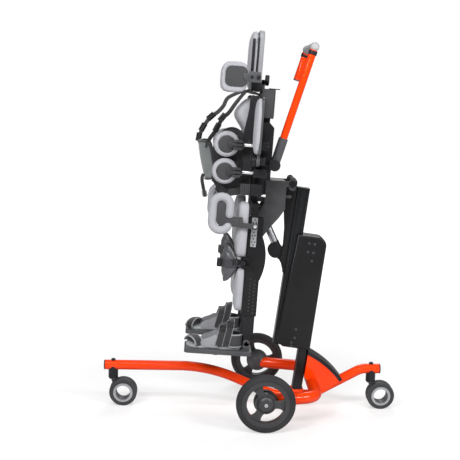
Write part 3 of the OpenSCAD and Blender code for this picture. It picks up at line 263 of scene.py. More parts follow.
finishes = {
    # Orange paint is darkened where it turns away from the view: painted shade
    "orangePaint": {"tones": ((0.95, 0.046, 0.0003), (1.0, 0.058, 0.0005)), "relief": "grain", "scale": 260,
                    "rough": (0.40, 0.52), "coat": 0.45, "coatRough": 0.05, "depth": 0.03, "shine": 0.04,
                    "edge": 0.62},
    "blackSteel": {"tones": ((0.006, 0.006, 0.007), (0.011, 0.011, 0.012)), "relief": "grain", "scale": 900,
                   "rough": (0.30, 0.46), "depth": 0.25, "shine": 0.25},
    "blackColumn": {"tones": ((0.006, 0.007, 0.008), (0.013, 0.014, 0.016)), "relief": "grain", "scale": 420,
                    "stretch": (1, 1, 0.02), "rough": (0.22, 0.42), "depth": 0.15, "metal": 0.35},
    "blackPlastic": {"tones": ((0.010, 0.010, 0.012), (0.017, 0.017, 0.020)), "relief": "grain", "scale": 1300,
                     "rough": (0.34, 0.52), "depth": 0.3, "shine": 0.25},
    "coverPlastic": {"tones": ((0.010, 0.010, 0.011), (0.014, 0.014, 0.015)), "relief": "cells", "scale": 1500,
                     "rough": (0.24, 0.40), "depth": 0.25, "shine": 0.2},
    "greyPlastic": {"tones": ((0.052, 0.053, 0.058), (0.068, 0.069, 0.075)), "relief": "grain", "scale": 1200,
                    "rough": (0.36, 0.56), "depth": 0.3},
    "wheelPlastic": {"tones": ((0.026, 0.026, 0.028), (0.036, 0.036, 0.039)), "relief": "grain", "scale": 1100,
                     "rough": (0.34, 0.50), "depth": 0.25},
    "shellGrey": {"tones": ((0.24, 0.244, 0.262), (0.30, 0.304, 0.322)), "relief": "grain", "scale": 1000,
                  "rough": (0.42, 0.6), "depth": 0.2},
    "kneeRubber": {"tones": ((0.070, 0.071, 0.079), (0.092, 0.093, 0.102)), "relief": "grain", "scale": 800,
                   "rough": (0.26, 0.42), "depth": 0.2, "shine": 0.5},
    "softGrey": {"tones": ((0.044, 0.0445, 0.047), (0.056, 0.0565, 0.059)), "relief": "grain", "scale": 900,
                 "rough": (0.5, 0.7), "depth": 0.3, "shine": 0.3},
    "steel": {"tones": ((0.82, 0.83, 0.85), (0.92, 0.93, 0.95)), "relief": "grain", "scale": 700,
              "stretch": (0.05, 1, 1), "rough": (0.26, 0.42), "depth": 0.08, "metal": 1},
    "castSilver": {"tones": ((0.42, 0.43, 0.45), (0.55, 0.56, 0.58)), "relief": "grain", "scale": 800,
                   "rough": (0.28, 0.45), "depth": 0.2, "metal": 1},
    "tyreRubber": {"tones": ((0.020, 0.020, 0.022), (0.032, 0.032, 0.034)), "relief": "grain", "scale": 620,
                   "rough": (0.62, 0.85), "depth": 0.4, "shine": 0.3},
    "casterRubber": {"tones": ((0.034, 0.035, 0.038), (0.048, 0.049, 0.053)), "relief": "grain", "scale": 700,
                     "rough": (0.5, 0.72), "depth": 0.3, "shine": 0.35},
    "padSkin": {"tones": ((0.345, 0.347, 0.374), (0.395, 0.397, 0.424)), "relief": "cells", "scale": 1100,
                "rough": (0.55, 0.75), "depth": 0.18, "sheen": 0.12, "shine": 0.3, "toneScale": 6},
    "gripFoam": {"tones": ((0.24, 0.243, 0.25), (0.46, 0.463, 0.475)), "relief": "cells", "scale": 520,
                 "rough": (0.6, 0.85), "depth": 0.6, "height": 0.0008},
    # The woven finishes that follow are darkened between their threads: painted shade
    "webbing": {"tones": ((0.019, 0.019, 0.021), (0.030, 0.030, 0.033)), "relief": "weave", "scale": 0.16,
                "onUv": True, "rough": (0.6, 0.85), "depth": 0.7, "height": 0.0006, "gapShade": 0.55, "sheen": 0.25},
    "kneeWebbing": {"tones": ((0.042, 0.042, 0.045), (0.058, 0.058, 0.062)), "relief": "weave", "scale": 0.16,
                    "onUv": True, "rough": (0.6, 0.85), "depth": 0.7, "height": 0.0006, "gapShade": 0.55},
    "vestCloth": {"tones": ((0.150, 0.164, 0.163), (0.200, 0.216, 0.214)), "relief": "weave", "scale": 120,
                  "axes": ("Y", "Z"), "rough": (0.7, 0.9), "depth": 0.5, "height": 0.0007, "gapShade": 0.6,
                  "sheen": 0.3},
    "blackCloth": {"tones": ((0.014, 0.014, 0.016), (0.024, 0.024, 0.027)), "relief": "weave", "scale": 130,
                   "axes": ("X", "Z"), "rough": (0.7, 0.9), "depth": 0.5, "height": 0.0007, "gapShade": 0.6,
                   "sheen": 0.3},
    "soleCloth": {"tones": ((0.35, 0.375, 0.37), (0.43, 0.455, 0.45)), "relief": "weave", "scale": 110,
                  "axes": ("X", "Y"), "rough": (0.65, 0.85), "depth": 0.4, "height": 0.0006, "gapShade": 0.75},
}
mats = {name: finishMaterial(name, look) for name, look in finishes.items()}
print("finishes", len(mats))


# Mesh helpers: shapes are drawn in millimetres in a named frame, then placed
edges = {"profile": 0.6, "least": 0.5, "rodLeast": 0.9}  # least angles that are eased, in radians
sharpAt = {"plain": 38, "eased": 34, "cover": 28, "rods": 40, "knee": 50, "wing": 60, "pad": 80}  # degrees
onAxis = 1e-6
ribbonLip = {"share": 0.45, "most": 1.0}


def mergeInto(bm, part):
    mesh = bpy.data.meshes.new("scratch")
    part.to_mesh(mesh)
    part.free()
    bm.from_mesh(mesh)
    bpy.data.meshes.remove(mesh)


def softenEdges(part, width, steps=2, least=edges["least"]):
    sharp = [e for e in part.edges if len(e.link_faces) == 2 and e.calc_face_angle(0) > least]
    bmesh.ops.bevel(part, geom=sharp, offset=width, segments=steps, profile=edges["profile"], affect="EDGES",
                    clamp_overlap=True)


def addBlock(bm, x, y, z, soft):
    part = bmesh.new()
    bmesh.ops.create_cube(part, size=1)
    for v in part.verts:
        v.co = [r[0] + (c + 0.5) * (r[1] - r[0]) for c, r in zip(v.co, (x, y, z))]
    softenEdges(part, soft)
    mergeInto(bm, part)


def addRod(bm, start, end, r, sides, soft):
    part = bmesh.new()
    start, end = Vector(start), Vector(end)
    bmesh.ops.create_cone(part, cap_ends=True, segments=sides, radius1=r, radius2=r, depth=(end - start).length)
    softenEdges(part, soft, least=edges["rodLeast"])
    part.transform(Matrix.Translation((start + end) / 2) @ (end - start).to_track_quat("Z", "Y")
                   .to_matrix().to_4x4())
    mergeInto(bm, part)


def addPlate(bm, outline, y0, y1, soft, steps=2):  # outline in x and z
    part = bmesh.new()
    near = [part.verts.new((x, y0, z)) for x, z in outline]
    far = [part.verts.new((x, y1, z)) for x, z in outline]
    part.faces.new(near)
    part.faces.new(far[::-1])
    for i in range(len(outline)):
        j = (i + 1) % len(outline)
        part.faces.new((near[j], near[i], far[i], far[j]))
    bmesh.ops.recalc_face_normals(part, faces=part.faces)
    softenEdges(part, soft, steps)
    mergeInto(bm, part)


def addLathe(bm, profile, place, sides):  # profile in radius and height along z
    part = bmesh.new()
    rings = []
    for r, h in profile:
        if r < onAxis:
            rings.append([part.verts.new((0, 0, h))])
        else:
            rings.append([part.verts.new((r * math.cos(a), r * math.sin(a), h))
                          for a in (2 * math.pi * i / sides for i in range(sides))])
    closed = profile[0][0] > onAxis
    pairs = list(zip(rings, rings[1:])) + ([(rings[-1], rings[0])] if closed else [])
    for a, b in pairs:
        for i in range(sides):
            j = (i + 1) % sides
            corners = [a[i % len(a)], a[j % len(a)], b[j % len(b)], b[i % len(b)]]
            part.faces.new(list(dict.fromkeys(corners)))
    bmesh.ops.recalc_face_normals(part, faces=part.faces)
    part.transform(place)
    mergeInto(bm, part)


def joinRings(bm, rings):
    count = len(rings[0])
    for a, b in zip(rings, rings[1:]):
        for i in range(count):
            j = (i + 1) % count
            bm.faces.new((a[i], a[j], b[j], b[i]))


def smoothPath(points, steps):
    pts = [Vector(p) for p in points]
    pts = [2 * pts[0] - pts[1], *pts, 2 * pts[-1] - pts[-2]]
    out = []
    for a, b, c, d in zip(pts, pts[1:], pts[2:], pts[3:]):
        for k in range(steps):
            t = k / steps
            out.append(0.5 * (2 * b + (c - a) * t + (2 * a - 5 * b + 4 * c - d) * t * t
                              + (3 * b - a - 3 * c + d) * t ** 3))
    return out + [pts[-2]]


def addSweep(bm, path, section, across, closed=False, twist=None):  # section in (across, normal) pairs
    part = bmesh.new()
    uv = part.loops.layers.uv.new("UVMap")
    across = Vector(across).normalized()
    rings, lengths, run = [], [], 0.0
    last = len(path) - 1
    for i, p in enumerate(path):
        ahead = path[(i + 1) % len(path)] if closed else path[min(i + 1, last)]
        behind = path[i - 1] if closed or i else path[0]
        way = (ahead - behind).normalized()
        side = (across - way * across.dot(way)).normalized()
        if twist:
            side = Matrix.Rotation(math.radians(twist[i]), 3, way) @ side
        out = way.cross(side)
        rings.append([part.verts.new(p + side * a + out * b) for a, b in section])
        run += (p - path[i - 1]).length if i else 0
        lengths.append(run)
    count = len(section)
    girth = [0.0]
    for k in range(count):
        a, b = Vector(section[k]), Vector(section[(k + 1) % count])
        girth.append(girth[-1] + (b - a).length)
    spans = list(range(last)) + ([last] if closed else [])
    for i in spans:
        j = (i + 1) % len(path)
        far = lengths[j] if j else run + (path[0] - path[-1]).length
        for k in range(count):
            m = (k + 1) % count
            face = part.faces.new((rings[i][k], rings[i][m], rings[j][m], rings[j][k]))
            for loop, at in zip(face.loops, ((lengths[i], girth[k]), (lengths[i], girth[k + 1]),
                                             (far, girth[k + 1]), (far, girth[k]))):
                loop[uv].uv = at
    if not closed:
        part.faces.new(rings[0][::-1])
        part.faces.new(rings[-1])
    bmesh.ops.recalc_face_normals(part, faces=part.faces)
    mergeInto(bm, part)


def closeSkins(bm, skins, cols, rows):  # two grids of points, joined round their rims
    for skin in skins:
        for i in range(cols):
            for j in range(rows):
                bm.faces.new((skin[i][j], skin[i + 1][j], skin[i + 1][j + 1], skin[i][j + 1]))
    for i in range(cols):
        for j in (0, rows):
            bm.faces.new((skins[0][i][j], skins[0][i + 1][j], skins[1][i + 1][j], skins[1][i][j]))
    for j in range(rows):
        for i in (0, cols):
            bm.faces.new((skins[0][i][j], skins[0][i][j + 1], skins[1][i][j + 1], skins[1][i][j]))
    bmesh.ops.recalc_face_normals(bm, faces=bm.faces)


def ribbon(w, t):
    lip = min(t * ribbonLip["share"], ribbonLip["most"])
    return [(-w / 2, -t / 2 + lip), (-w / 2 + lip, -t / 2), (w / 2 - lip, -t / 2), (w / 2, -t / 2 + lip),
            (w / 2, t / 2 - lip), (w / 2 - lip, t / 2), (-w / 2 + lip, t / 2), (-w / 2, t / 2 - lip)]


def ringSection(r, sides):
    return [(r * math.cos(2 * math.pi * i / sides), r * math.sin(2 * math.pi * i / sides)) for i in range(sides)]


def arcAngles(first, last, steps):
    return [math.radians(first + (last - first) * k / steps) for k in range(steps + 1)]


def roundedOutline(x, z, r, steps=6):
    out = []
    for cx, cz, a0 in ((x[1] - r, z[1] - r, 0), (x[0] + r, z[1] - r, 90), (x[0] + r, z[0] + r, 180),
                       (x[1] - r, z[0] + r, 270)):
        out += [(cx + r * math.cos(a), cz + r * math.sin(a)) for a in arcAngles(a0, a0 + 90, steps)]
    return out


# Rigid shapes as a piece's values list them: a block has spans in x, y and z, a rod two ends, a radius and its
# sides, a plate a rounded outline in x and z and a span in y, and then comes the softness of the edge
def addShapes(bm, shapes, sides=(1,)):
    for side in sides:
        for kind, *spec in shapes:
            if kind == "block":
                x, y, z, soft = spec
                addBlock(bm, x, sorted(side * c for c in y), z, soft)
            elif kind == "rod":
                start, end, *rest = spec
                addRod(bm, *((x, side * y, z) for x, y, z in (start, end)), *rest)
            else:
                outline, (near, far), *rest = spec
                addPlate(bm, roundedOutline(*outline), side * near, side * far, *rest)


def shaped(shapes, sides=(1,), place=still):
    bm = bmesh.new()
    addShapes(bm, shapes, sides)
    bm.transform(place)
    return bm


# Meshes from the drawn shapes, and pieces from meshes
def placedMesh(bm, place, name):
    bm.transform(place)
    if place.determinant() < 0:
        bmesh.ops.reverse_faces(bm, faces=bm.faces)
    mesh = bpy.data.meshes.new(name)
    bm.to_mesh(mesh)
    bm.free()
    return mesh


def evaluatedMesh(holder):
    return bpy.data.meshes.new_from_object(holder.evaluated_get(bpy.context.evaluated_depsgraph_get()))


def showMesh(mesh, name, material, body, nodes=(), sharp=sharpAt["plain"]):
    mesh.name = name
    if not mesh.materials:
        mesh.materials.append(mats[material])
    for poly in mesh.polygons:
        poly.use_smooth = True
    mesh.set_sharp_from_angle(angle=math.radians(sharp))
    piece = bpy.data.objects.new(name, mesh)
    scene.collection.objects.link(piece)
    if isinstance(body, tuple):  # two bodies, and where the bend between them starts and ends; the piece is only baked in place, joined to neither
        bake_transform(piece)
    else:
        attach(piece, body)
    if nodes:
        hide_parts(*nodes)
    return piece


def showPart(bm, name, place, material, body, nodes=(), sharp=sharpAt["plain"]):
    return showMesh(placedMesh(bm, place, name), name, material, body, nodes, sharp)


# Short rods set on marks: screw heads, their sockets and rows of holes
def makeRodTree():
    tree = bpy.data.node_groups.new("rodsOnMarks", "GeometryNodeTree")
    sockets = {}
    tree.interface.new_socket("Geometry", in_out="INPUT", socket_type="NodeSocketGeometry")
    for label, kind in (("Radius", "Float"), ("Length", "Float"), ("Sides", "Int"), ("Finish", "Material")):
        sockets[label] = tree.interface.new_socket(
            label, in_out="INPUT", socket_type=f"NodeSocket{kind}").identifier
    tree.interface.new_socket("Geometry", in_out="OUTPUT", socket_type="NodeSocketGeometry")
    nodes = tree.nodes
    given, result = nodes.new("NodeGroupInput"), nodes.new("NodeGroupOutput")
    rod = nodes.new("GeometryNodeMeshCylinder")
    aim = nodes.new("GeometryNodeInputNamedAttribute")
    aim.data_type = "FLOAT_VECTOR"
    aim.inputs["Name"].default_value = "aim"
    face = nodes.new("FunctionNodeAlignRotationToVector")
    face.axis = "Z"
    put = nodes.new("GeometryNodeInstanceOnPoints")
    real = nodes.new("GeometryNodeRealizeInstances")
    dress = nodes.new("GeometryNodeSetMaterial")
    for source, gives, target, taken in (
            (given, "Radius", rod, "Radius"), (given, "Length", rod, "Depth"), (given, "Sides", rod, "Vertices"),
            (aim, "Attribute", face, "Vector"), (given, "Geometry", put, "Points"), (rod, "Mesh", put, "Instance"),
            (face, "Rotation", put, "Rotation"), (put, "Instances", real, "Geometry"),
            (real, "Geometry", dress, "Geometry"), (given, "Finish", dress, "Material"),
            (dress, "Geometry", result, "Geometry")):
        tree.links.new(source.outputs[gives], target.inputs[taken])
    return tree, sockets


rodTree, rodSockets = makeRodTree()


def setRods(name, marks, r, length, sides, material, body, slot, nodes=()):  # marks in metres
    seeds = bpy.data.meshes.new(name + "Marks")
    seeds.from_pydata([tuple(p) for p, _ in marks], [], [])
    aims = seeds.attributes.new("aim", "FLOAT_VECTOR", "POINT")
    aims.data.foreach_set("vector", [c for _, a in marks for c in a])
    holder = bpy.data.objects.new(name + "Marks", seeds)
    scene.collection.objects.link(holder)
    mod = holder.modifiers.new("rods", "NODES")
    mod.node_group = rodTree
    for label, value in (("Radius", r * mm), ("Length", length * mm), ("Sides", sides),
                         ("Finish", mats[material])):
        mod[rodSockets[label]] = value
    made = evaluatedMesh(holder)
    bpy.data.objects.remove(holder)
    return showMesh(made, name, material, body, nodes, sharpAt["rods"])


def marksAt(place, points, aim):
    way = (place.to_3x3() @ Vector(aim)).normalized()
    return [(place @ Vector(p), way) for p in points]


# Cushions: a crowned form, skinned at a few millimetres and swollen as cloth
cushion = {"rim": ((0, 0.5), (0.12, 0.12), (0.3, 0), (0.68, 0), (0.85, 0.15), (0.95, 0.45), (1, 1)),
           "crownSteps": 8, "crownReach": 0.985}  # rim: shares of the thickness and of the edge


def cushionForm(size, edge, crown, waist=0.03, wrap=0, bulge=(0, 0, 1), corner=0.5, count=56):
    w, h, t = size
    bm = bmesh.new()

    def squared(c):
        return math.copysign(abs(c) ** corner, c)

    def at(inset, depth, i):
        a = 2 * math.pi * i / count
        y, z = squared(math.cos(a)), squared(math.sin(a))
        py = (w / 2 - inset) * y * (1 - waist * (1 - z * z))
        pz = (h / 2 - inset) * z * (1 - waist * (1 - y * y))
        swollen = bulge[0] * min(1, depth / t) * math.exp(-((pz - bulge[1]) / bulge[2]) ** 2)
        return (-depth + wrap * (2 * py / w) ** 2 - swollen, py, pz)

    steps, reach = cushion["crownSteps"], (min(w, h) / 2 - edge) * cushion["crownReach"]
    levels = [(depth * t, inset * edge) for depth, inset in cushion["rim"]]
    levels += [(t + crown * math.sin(math.pi / 2 * k / steps), edge + reach * k / steps)
               for k in range(1, steps + 1)]
    rings = [[bm.verts.new(at(inset, depth, i)) for i in range(count)] for depth, inset in levels]
    joinRings(bm, rings)
    bm.faces.new(rings[0][::-1])
    seam, turn = rings[-1], count // 4
    for i in range(-turn, turn):
        corners = (seam[i], seam[i + 1], seam[2 * turn - i - 1], seam[2 * turn - i])
        bm.faces.new(list(dict.fromkeys(corners)))
    bmesh.ops.recalc_face_normals(bm, faces=bm.faces)
    return bm


swelling = {"pressure": 4.0, "frames": 20, "quality": 4, "ease": (0.5, 4), "subdivide": 1}


def blowUp(pad, place, cap, isSeat):
    rest = [v.co.copy() for v in pad.data.vertices]
    back = place.inverted()
    seat = pad.vertex_groups.new(name="seat")
    seat.add([i for i, co in enumerate(rest) if isSeat(back @ co)], 1, "REPLACE")
    cloth = pad.modifiers.new("swell", "CLOTH")
    cloth.settings.use_pressure = True
    cloth.settings.uniform_pressure_force = swelling["pressure"]
    cloth.settings.effector_weights.gravity = 0
    cloth.settings.vertex_group_mass = "seat"
    cloth.settings.quality = swelling["quality"]
    cloth.point_cache.frame_start = 1
    cloth.point_cache.frame_end = swelling["frames"]
    for step in range(1, swelling["frames"] + 1):
        scene.frame_set(step)
    grown = evaluatedMesh(pad)
    pad.modifiers.clear()
    scene.frame_set(1)
    for v, g, r in zip(pad.data.vertices, grown.vertices, rest):
        shift = g.co - r
        v.co = r + shift * min(1, cap * mm / max(shift.length, 1e-9))
    bpy.data.meshes.remove(grown)


def swell(bm, place, name, voxel, cap, isSeat):
    pad = bpy.data.objects.new(name + "Raw", placedMesh(bm, place, name + "Raw"))
    scene.collection.objects.link(pad)
    skin = pad.modifiers.new("skin", "REMESH")
    skin.mode = "VOXEL"
    skin.voxel_size = voxel * mm
    pad.data = evaluatedMesh(pad)
    pad.modifiers.clear()
    blowUp(pad, place, cap, isSeat)
    ease = pad.modifiers.new("ease", "SMOOTH")
    ease.factor, ease.iterations = swelling["ease"]
    fine = pad.modifiers.new("fine", "SUBSURF")
    fine.levels = fine.render_levels = swelling["subdivide"]
    mesh = evaluatedMesh(pad)
    bpy.data.objects.remove(pad)
    return mesh


def mirrored(mesh):
    twin = mesh.copy()
    twin.transform(Matrix.Scale(-1, 4, (0, 1, 0)))
    twin.flip_normals()
    return twin


def showPad(mesh, name, body, nodes=(), material="padSkin"):
    mesh.materials.clear()
    piece = showMesh(mesh, name, material, body, nodes, sharpAt["pad"])
    return piece


def showPadPair(mesh, label, body, nodes=("", "")):  # the right one as it is, the left one mirrored
    for side, made, node in ((1, mesh, nodes[0]), (-1, mirrored(mesh), nodes[1])):
        showPad(made, label.format(sideNames[side]), body.format(sideNames[side]), (node,) if node else ())


# Finishes of the solids that stay as they are
plainNodes = {
    "orangePaint": ("front_boom", "rear_boom", "wheel_arm_tube", "gusset_frame", "handle_tube"),
    "blackPlastic": ("boom_fittings", "gusset_cover", "column_guides", "actuator_housing"),
    "blackColumn": ("lift_column", "rear_column_post"),
    "greyPlastic": ("hub_housings", "handle_socket", "front_caster_fork", "rear_caster_fork"),
    "steel": ("wheel_axles", "lift_ram", "lift_actuator", "actuator_rod"),
    "blackSteel": ("pivot_pins",),
    "castSilver": ("actuator_tube",),
    "tyreRubber": ("left_tyre", "right_tyre"),
    "casterRubber": ("front_left_ring", "front_right_ring", "rear_left_ring", "rear_right_ring"),
}
for finish, names in plainNodes.items():
    for name in names:
        for held in frame["nodes"][name].material_slots:
            held.material = mats[finish]

# Rigid solids with their edges eased, each standing for the node it copies
easing = {"weld": 0.00002, "flat": 0.6, "least": 0.6}  # metres, degrees, radians
easedNodes = {
    "tilt_box": (1.6, "softGrey", "black_metal"), "spine": (3.0, "blackPlastic", "black_plastic"),
    "back_board": (2.5, "blackPlastic", "black_plastic"), "mast_foot": (2.0, "orangePaint", "orange_paint"),
    "support_brackets": (1.2, "blackPlastic", "black_plastic"),
    "leg_frames": (1.0, "blackSteel", "black_metal"), "tilt_bracket": (1.0, "blackSteel", "black_steel"),
    "left_foot_slide": (2.0, "blackPlastic", "black_plastic"),
    "right_foot_slide": (2.0, "blackPlastic", "black_plastic"),
}


def cleanSolid(node):
    bm = bmesh.new()
    bm.from_mesh(frame["nodes"][node].data)
    bmesh.ops.remove_doubles(bm, verts=bm.verts, dist=easing["weld"])
    bmesh.ops.dissolve_limit(bm, angle_limit=math.radians(easing["flat"]), verts=bm.verts, edges=bm.edges)
    return bm


for node, (width, finish, slot) in easedNodes.items():
    bm = cleanSolid(node)
    softenEdges(bm, width * mm, least=easing["least"])
    bmesh.ops.dissolve_degenerate(bm, dist=easing["weld"], edges=bm.edges)
    body = next(b for b, held in frame["record"]["behaviour"]["bodies"].items() if node in held)
    showPart(bm, node + "Eased", still, finish, body, (node,), sharpAt["eased"])
print("rigid solids dressed")

# Covers of the mast: a wide round on the outer edge
cover = {"round": 7.0, "steps": 4, "profile": 0.5}
for name in sideNames.values():
    bm = cleanSolid(name + "_mast_cover")
    face = max(abs(v.co.y) for v in bm.verts)
    outer = [e for e in bm.edges if all(abs(abs(v.co.y) - face) < easing["weld"] for v in e.verts)
             and len(e.link_faces) == 2 and e.calc_face_angle(0) > easing["least"]]
    bmesh.ops.bevel(bm, geom=outer, offset=cover["round"] * mm, segments=cover["steps"],
                    profile=cover["profile"], affect="EDGES", clamp_overlap=True)
    showPart(bm, name + "Cover", still, "coverPlastic", "base", (name + "_mast_cover",),
             sharpAt["cover"])

# Screws of the base: socket heads on the covers and domed bolts over the casters
screw = {"plan": ((47, 567), (67, 567), (47, 536), (67, 536), (66, 506), (49, 252), (49, 220), (40, 202),
                  (42, 189)), "columnX": -93.0, "faceY": 45.2, "head": (4.0, 2.6, 20), "socket": (1.9, 2.9, 6),
         "bolt": ((0, 7), (3.2, 6.9), (5.6, 6.0), (7.4, 4.0), (8, 1.4), (8, -0.4), (0, -0.4)),
         "boltZ": 165.7, "boltSides": 32}


def makeScrews():
    heads = []
    for side in sideNames:
        heads += marksAt(mastFrame, [(screw["columnX"] + x, side * screw["faceY"], z) for x, z in screw["plan"]],
                         (0, side, 0))
    setRods("coverScrewHeads", heads, *screw["head"], "greyPlastic", "base", "grey_plastic", ("base_screws",))
    setRods("coverScrewSockets", heads, *screw["socket"], "blackSteel", "base", "black_steel")
    bm = bmesh.new()
    for x in layout["casterX"].values():
        addLathe(bm, screw["bolt"], moved(x, 0, screw["boltZ"]), screw["boltSides"])
    showPart(bm, "casterBolts", baseFrame, "blackSteel", "base")


makeScrews()

# Large wheels: a rim, three flared spokes and a domed hub with its screw
wheel = {"rim": ((65.1, -14), (66, -15), (81.9, -15), (81.9, 15), (66, 15), (65.1, 14)),
         "hub": ((6.1, -17.4), (35, -17.4), (36, -16.4), (36, 1), (35, 3.4), (30.5, 5), (29, 9), (25, 14.5),
                 (18, 18.6), (10, 20.6), (6.1, 21)),
         "spoke": ((24, -15), (38, -12.5), (48, -13), (58, -17.5), (66, -27), (72, -34), (72, 34), (66, 27),
                   (58, 17.5), (48, 13), (38, 12.5), (24, 15)), "depth": 7.6, "turns": (117, 237, 357),
         "screw": ((0, 20.6), (2.6, 20.6), (3.0, 22.2), (5.6, 22.0), (6.4, 21.2), (6.4, 15), (0, 15)),
         "spokeEdge": (3.0, 3), "sides": {"rim": 96, "hub": 64, "screw": 32}}


def makeWheel(side, name):
    bm = bmesh.new()
    for part in ("rim", "hub"):
        addLathe(bm, wheel[part], still, wheel["sides"][part])
    for a in wheel["turns"]:
        spoke = bmesh.new()
        addPlate(spoke, wheel["spoke"], -wheel["depth"], wheel["depth"], *wheel["spokeEdge"])
        spoke.transform(turned(-side * a, "Z") @ turned(90, "X"))
        mergeInto(bm, spoke)
    showPart(bm, name + "WheelCentre", wheelFrame(side), "wheelPlastic", name + "_wheel",
             (name + "_wheel_centre",))
    bm = bmesh.new()
    addLathe(bm, wheel["screw"], still, wheel["sides"]["screw"])
    showPart(bm, name + "HubScrew", wheelFrame(side), "castSilver", name + "_wheel")


for side, name in sideNames.items():
    makeWheel(side, name)

# Casters: a bright ring round the open hole on both faces
casterTrim = {"trail": 37.0, "axisZ": 50.0, "sides": 64,
              "ring": ((26.2, 22.6), (34.6, 22.6), (35.4, 23.3), (35.0, 24.4), (29.5, 25.2), (26.2, 24.2))}
for end, x in layout["casterX"].items():
    bm = bmesh.new()
    for side in sideNames:
        addLathe(bm, casterTrim["ring"], moved(x + casterTrim["trail"], 0, casterTrim["axisZ"])
                 @ turned(-90 * side, "X"), casterTrim["sides"])
    showPart(bm, end + "CasterTrim", baseFrame, "castSilver", end + "_caster")

# Handle grip: a foam sleeve that closes over both corners, with a dark collar on each leg
grip = {"end": 131.0, "r": 15.6, "at": 420.0, "sides": 48,
        "profile": ((0, 0), (0.55, 0.6), (0.86, 4), (1, 11), (1, 30), (0.96, 34), (0.95, 131)),  # share of r, inward
        "collars": (("rod", (0, 120, 392), (0, 120, 406), 14.8, 32, 1.2),)}


def makeGrip():
    half = [(share * grip["r"], grip["end"] - inward) for share, inward in grip["profile"]]
    whole = half + [(r, -h) for r, h in half[-2::-1]]
    bm = bmesh.new()
    addLathe(bm, whole, moved(0, 0, grip["at"]) @ turned(-90, "X"), grip["sides"])
    showPart(bm, "gripSleeve", handleFrame, "gripFoam", "push_handle", ("handle_grip",))
    showPart(shaped(grip["collars"], sideNames), "gripCollars", handleFrame, "blackPlastic", "push_handle")


makeGrip()
print("base, wheels and handle dressed")

# Knobs with lobes, drawn along z
knob = {"levels": ((0.80, 0), (0.97, 0.12), (1.0, 0.3), (1.0, 0.75), (0.95, 0.93), (0.82, 1.0), (0.4, 1.0)),
        "steps": 8, "lobe": 0.08}


def addKnob(bm, place, r, depth, lobes):
    part = bmesh.new()
    count = lobes * knob["steps"]
    rings = []
    for k, h in knob["levels"]:
        rings.append([])
        for i in range(count):
            a = 2 * math.pi * i / count
            reach = r * k * (1 - knob["lobe"] + knob["lobe"] * math.cos(lobes * a))
            rings[-1].append(part.verts.new((reach * math.cos(a), reach * math.sin(a), depth * h)))
    joinRings(part, rings)
    part.faces.new(rings[0][::-1])
    part.faces.new(rings[-1])
    part.transform(place)
    mergeInto(bm, part)


# Ladder buckles, set across a strap: two rails and four bars
buckle = (("block", (-18, -14.5), (-18, 18), (-2.5, 5), 1.2), ("block", (14.5, 18), (-18, 18), (-2.5, 5), 1.2),
          ("block", (-16, 16), (-17.8, -14.2), (-2, 4.6), 1.0), ("block", (-16, 16), (-7.3, -3.7), (-2, 4.6), 1.0),
          ("block", (-16, 16), (3.2, 6.8), (-2, 4.6), 1.0), ("block", (-16, 16), (13.7, 17.3), (-2, 4.6), 1.0))


def addBuckle(bm, path, spot, across, turn=0, size=1):
    way = (path[spot + 1] - path[spot - 1]).normalized()
    side = Vector(across)
    side = Matrix.Rotation(math.radians(turn), 3, way) @ (side - way * side.dot(way)).normalized()
    axes = Matrix((side, way, side.cross(way))).transposed().to_4x4()
    mergeInto(bm, shaped(buckle, place=Matrix.Translation(path[spot]) @ axes @ Matrix.Scale(size, 4)))


# Cushions of the back, head, arms and legs
plainPad = {"bulge": (0, 0, 1), "corner": 0.5, "turn": 0, "voxel": 4.5, "cap": 4.0, "seat": 2.5}
pads = {
    "back": {"size": (197, 348, 24), "edge": 12, "crown": 7, "bulge": (42, 112, 46), "at": (-147.6, 0, 119),
             "voxel": 5.0},
    "head": {"size": (145, 211, 22), "edge": 11, "crown": 4, "at": (-158.6, 0, 412.5)},
    "headSide": {"size": (92, 106, 21), "edge": 9, "crown": 4, "at": (-233, 127.8, 352.5), "turn": 90,
                 "corner": 0.6, "voxel": 4.0},
    "thigh": {"size": (89, 196, 35), "edge": 12, "crown": 6, "at": (-150.6, 129, -162)},
    "calf": {"size": (81, 160, 27), "edge": 12, "crown": 5, "at": (-150.6, 129, -367.5)},
    "arm": {"size": (84, 191, 19), "edge": 10, "crown": 5, "at": (-134.5, 190, 194.5), "cap": 3.5},
}


def padMesh(name):
    pad = plainPad | pads[name]
    form = cushionForm(pad["size"], pad["edge"], pad["crown"], bulge=pad["bulge"], corner=pad["corner"])
    place = boardFrame @ moved(*pad["at"]) @ turned(pad["turn"], "Z")
    return swell(form, place, name, pad["voxel"], pad["cap"], lambda p: p.x > -pad["seat"])


showPad(padMesh("back"), "backCushion", "board", ("back_cushion",))
showPad(padMesh("head"), "headCushion", "head_support", ("head_pads",))
showPadPair(padMesh("headSide"), "{}HeadCushion", "head_support")
showPadPair(padMesh("thigh"), "{}ThighCushion", "board", ("leg_pads", ""))
showPadPair(padMesh("calf"), "{}CalfCushion", "board")
armPad = padMesh("arm")
print("flat cushions swollen")

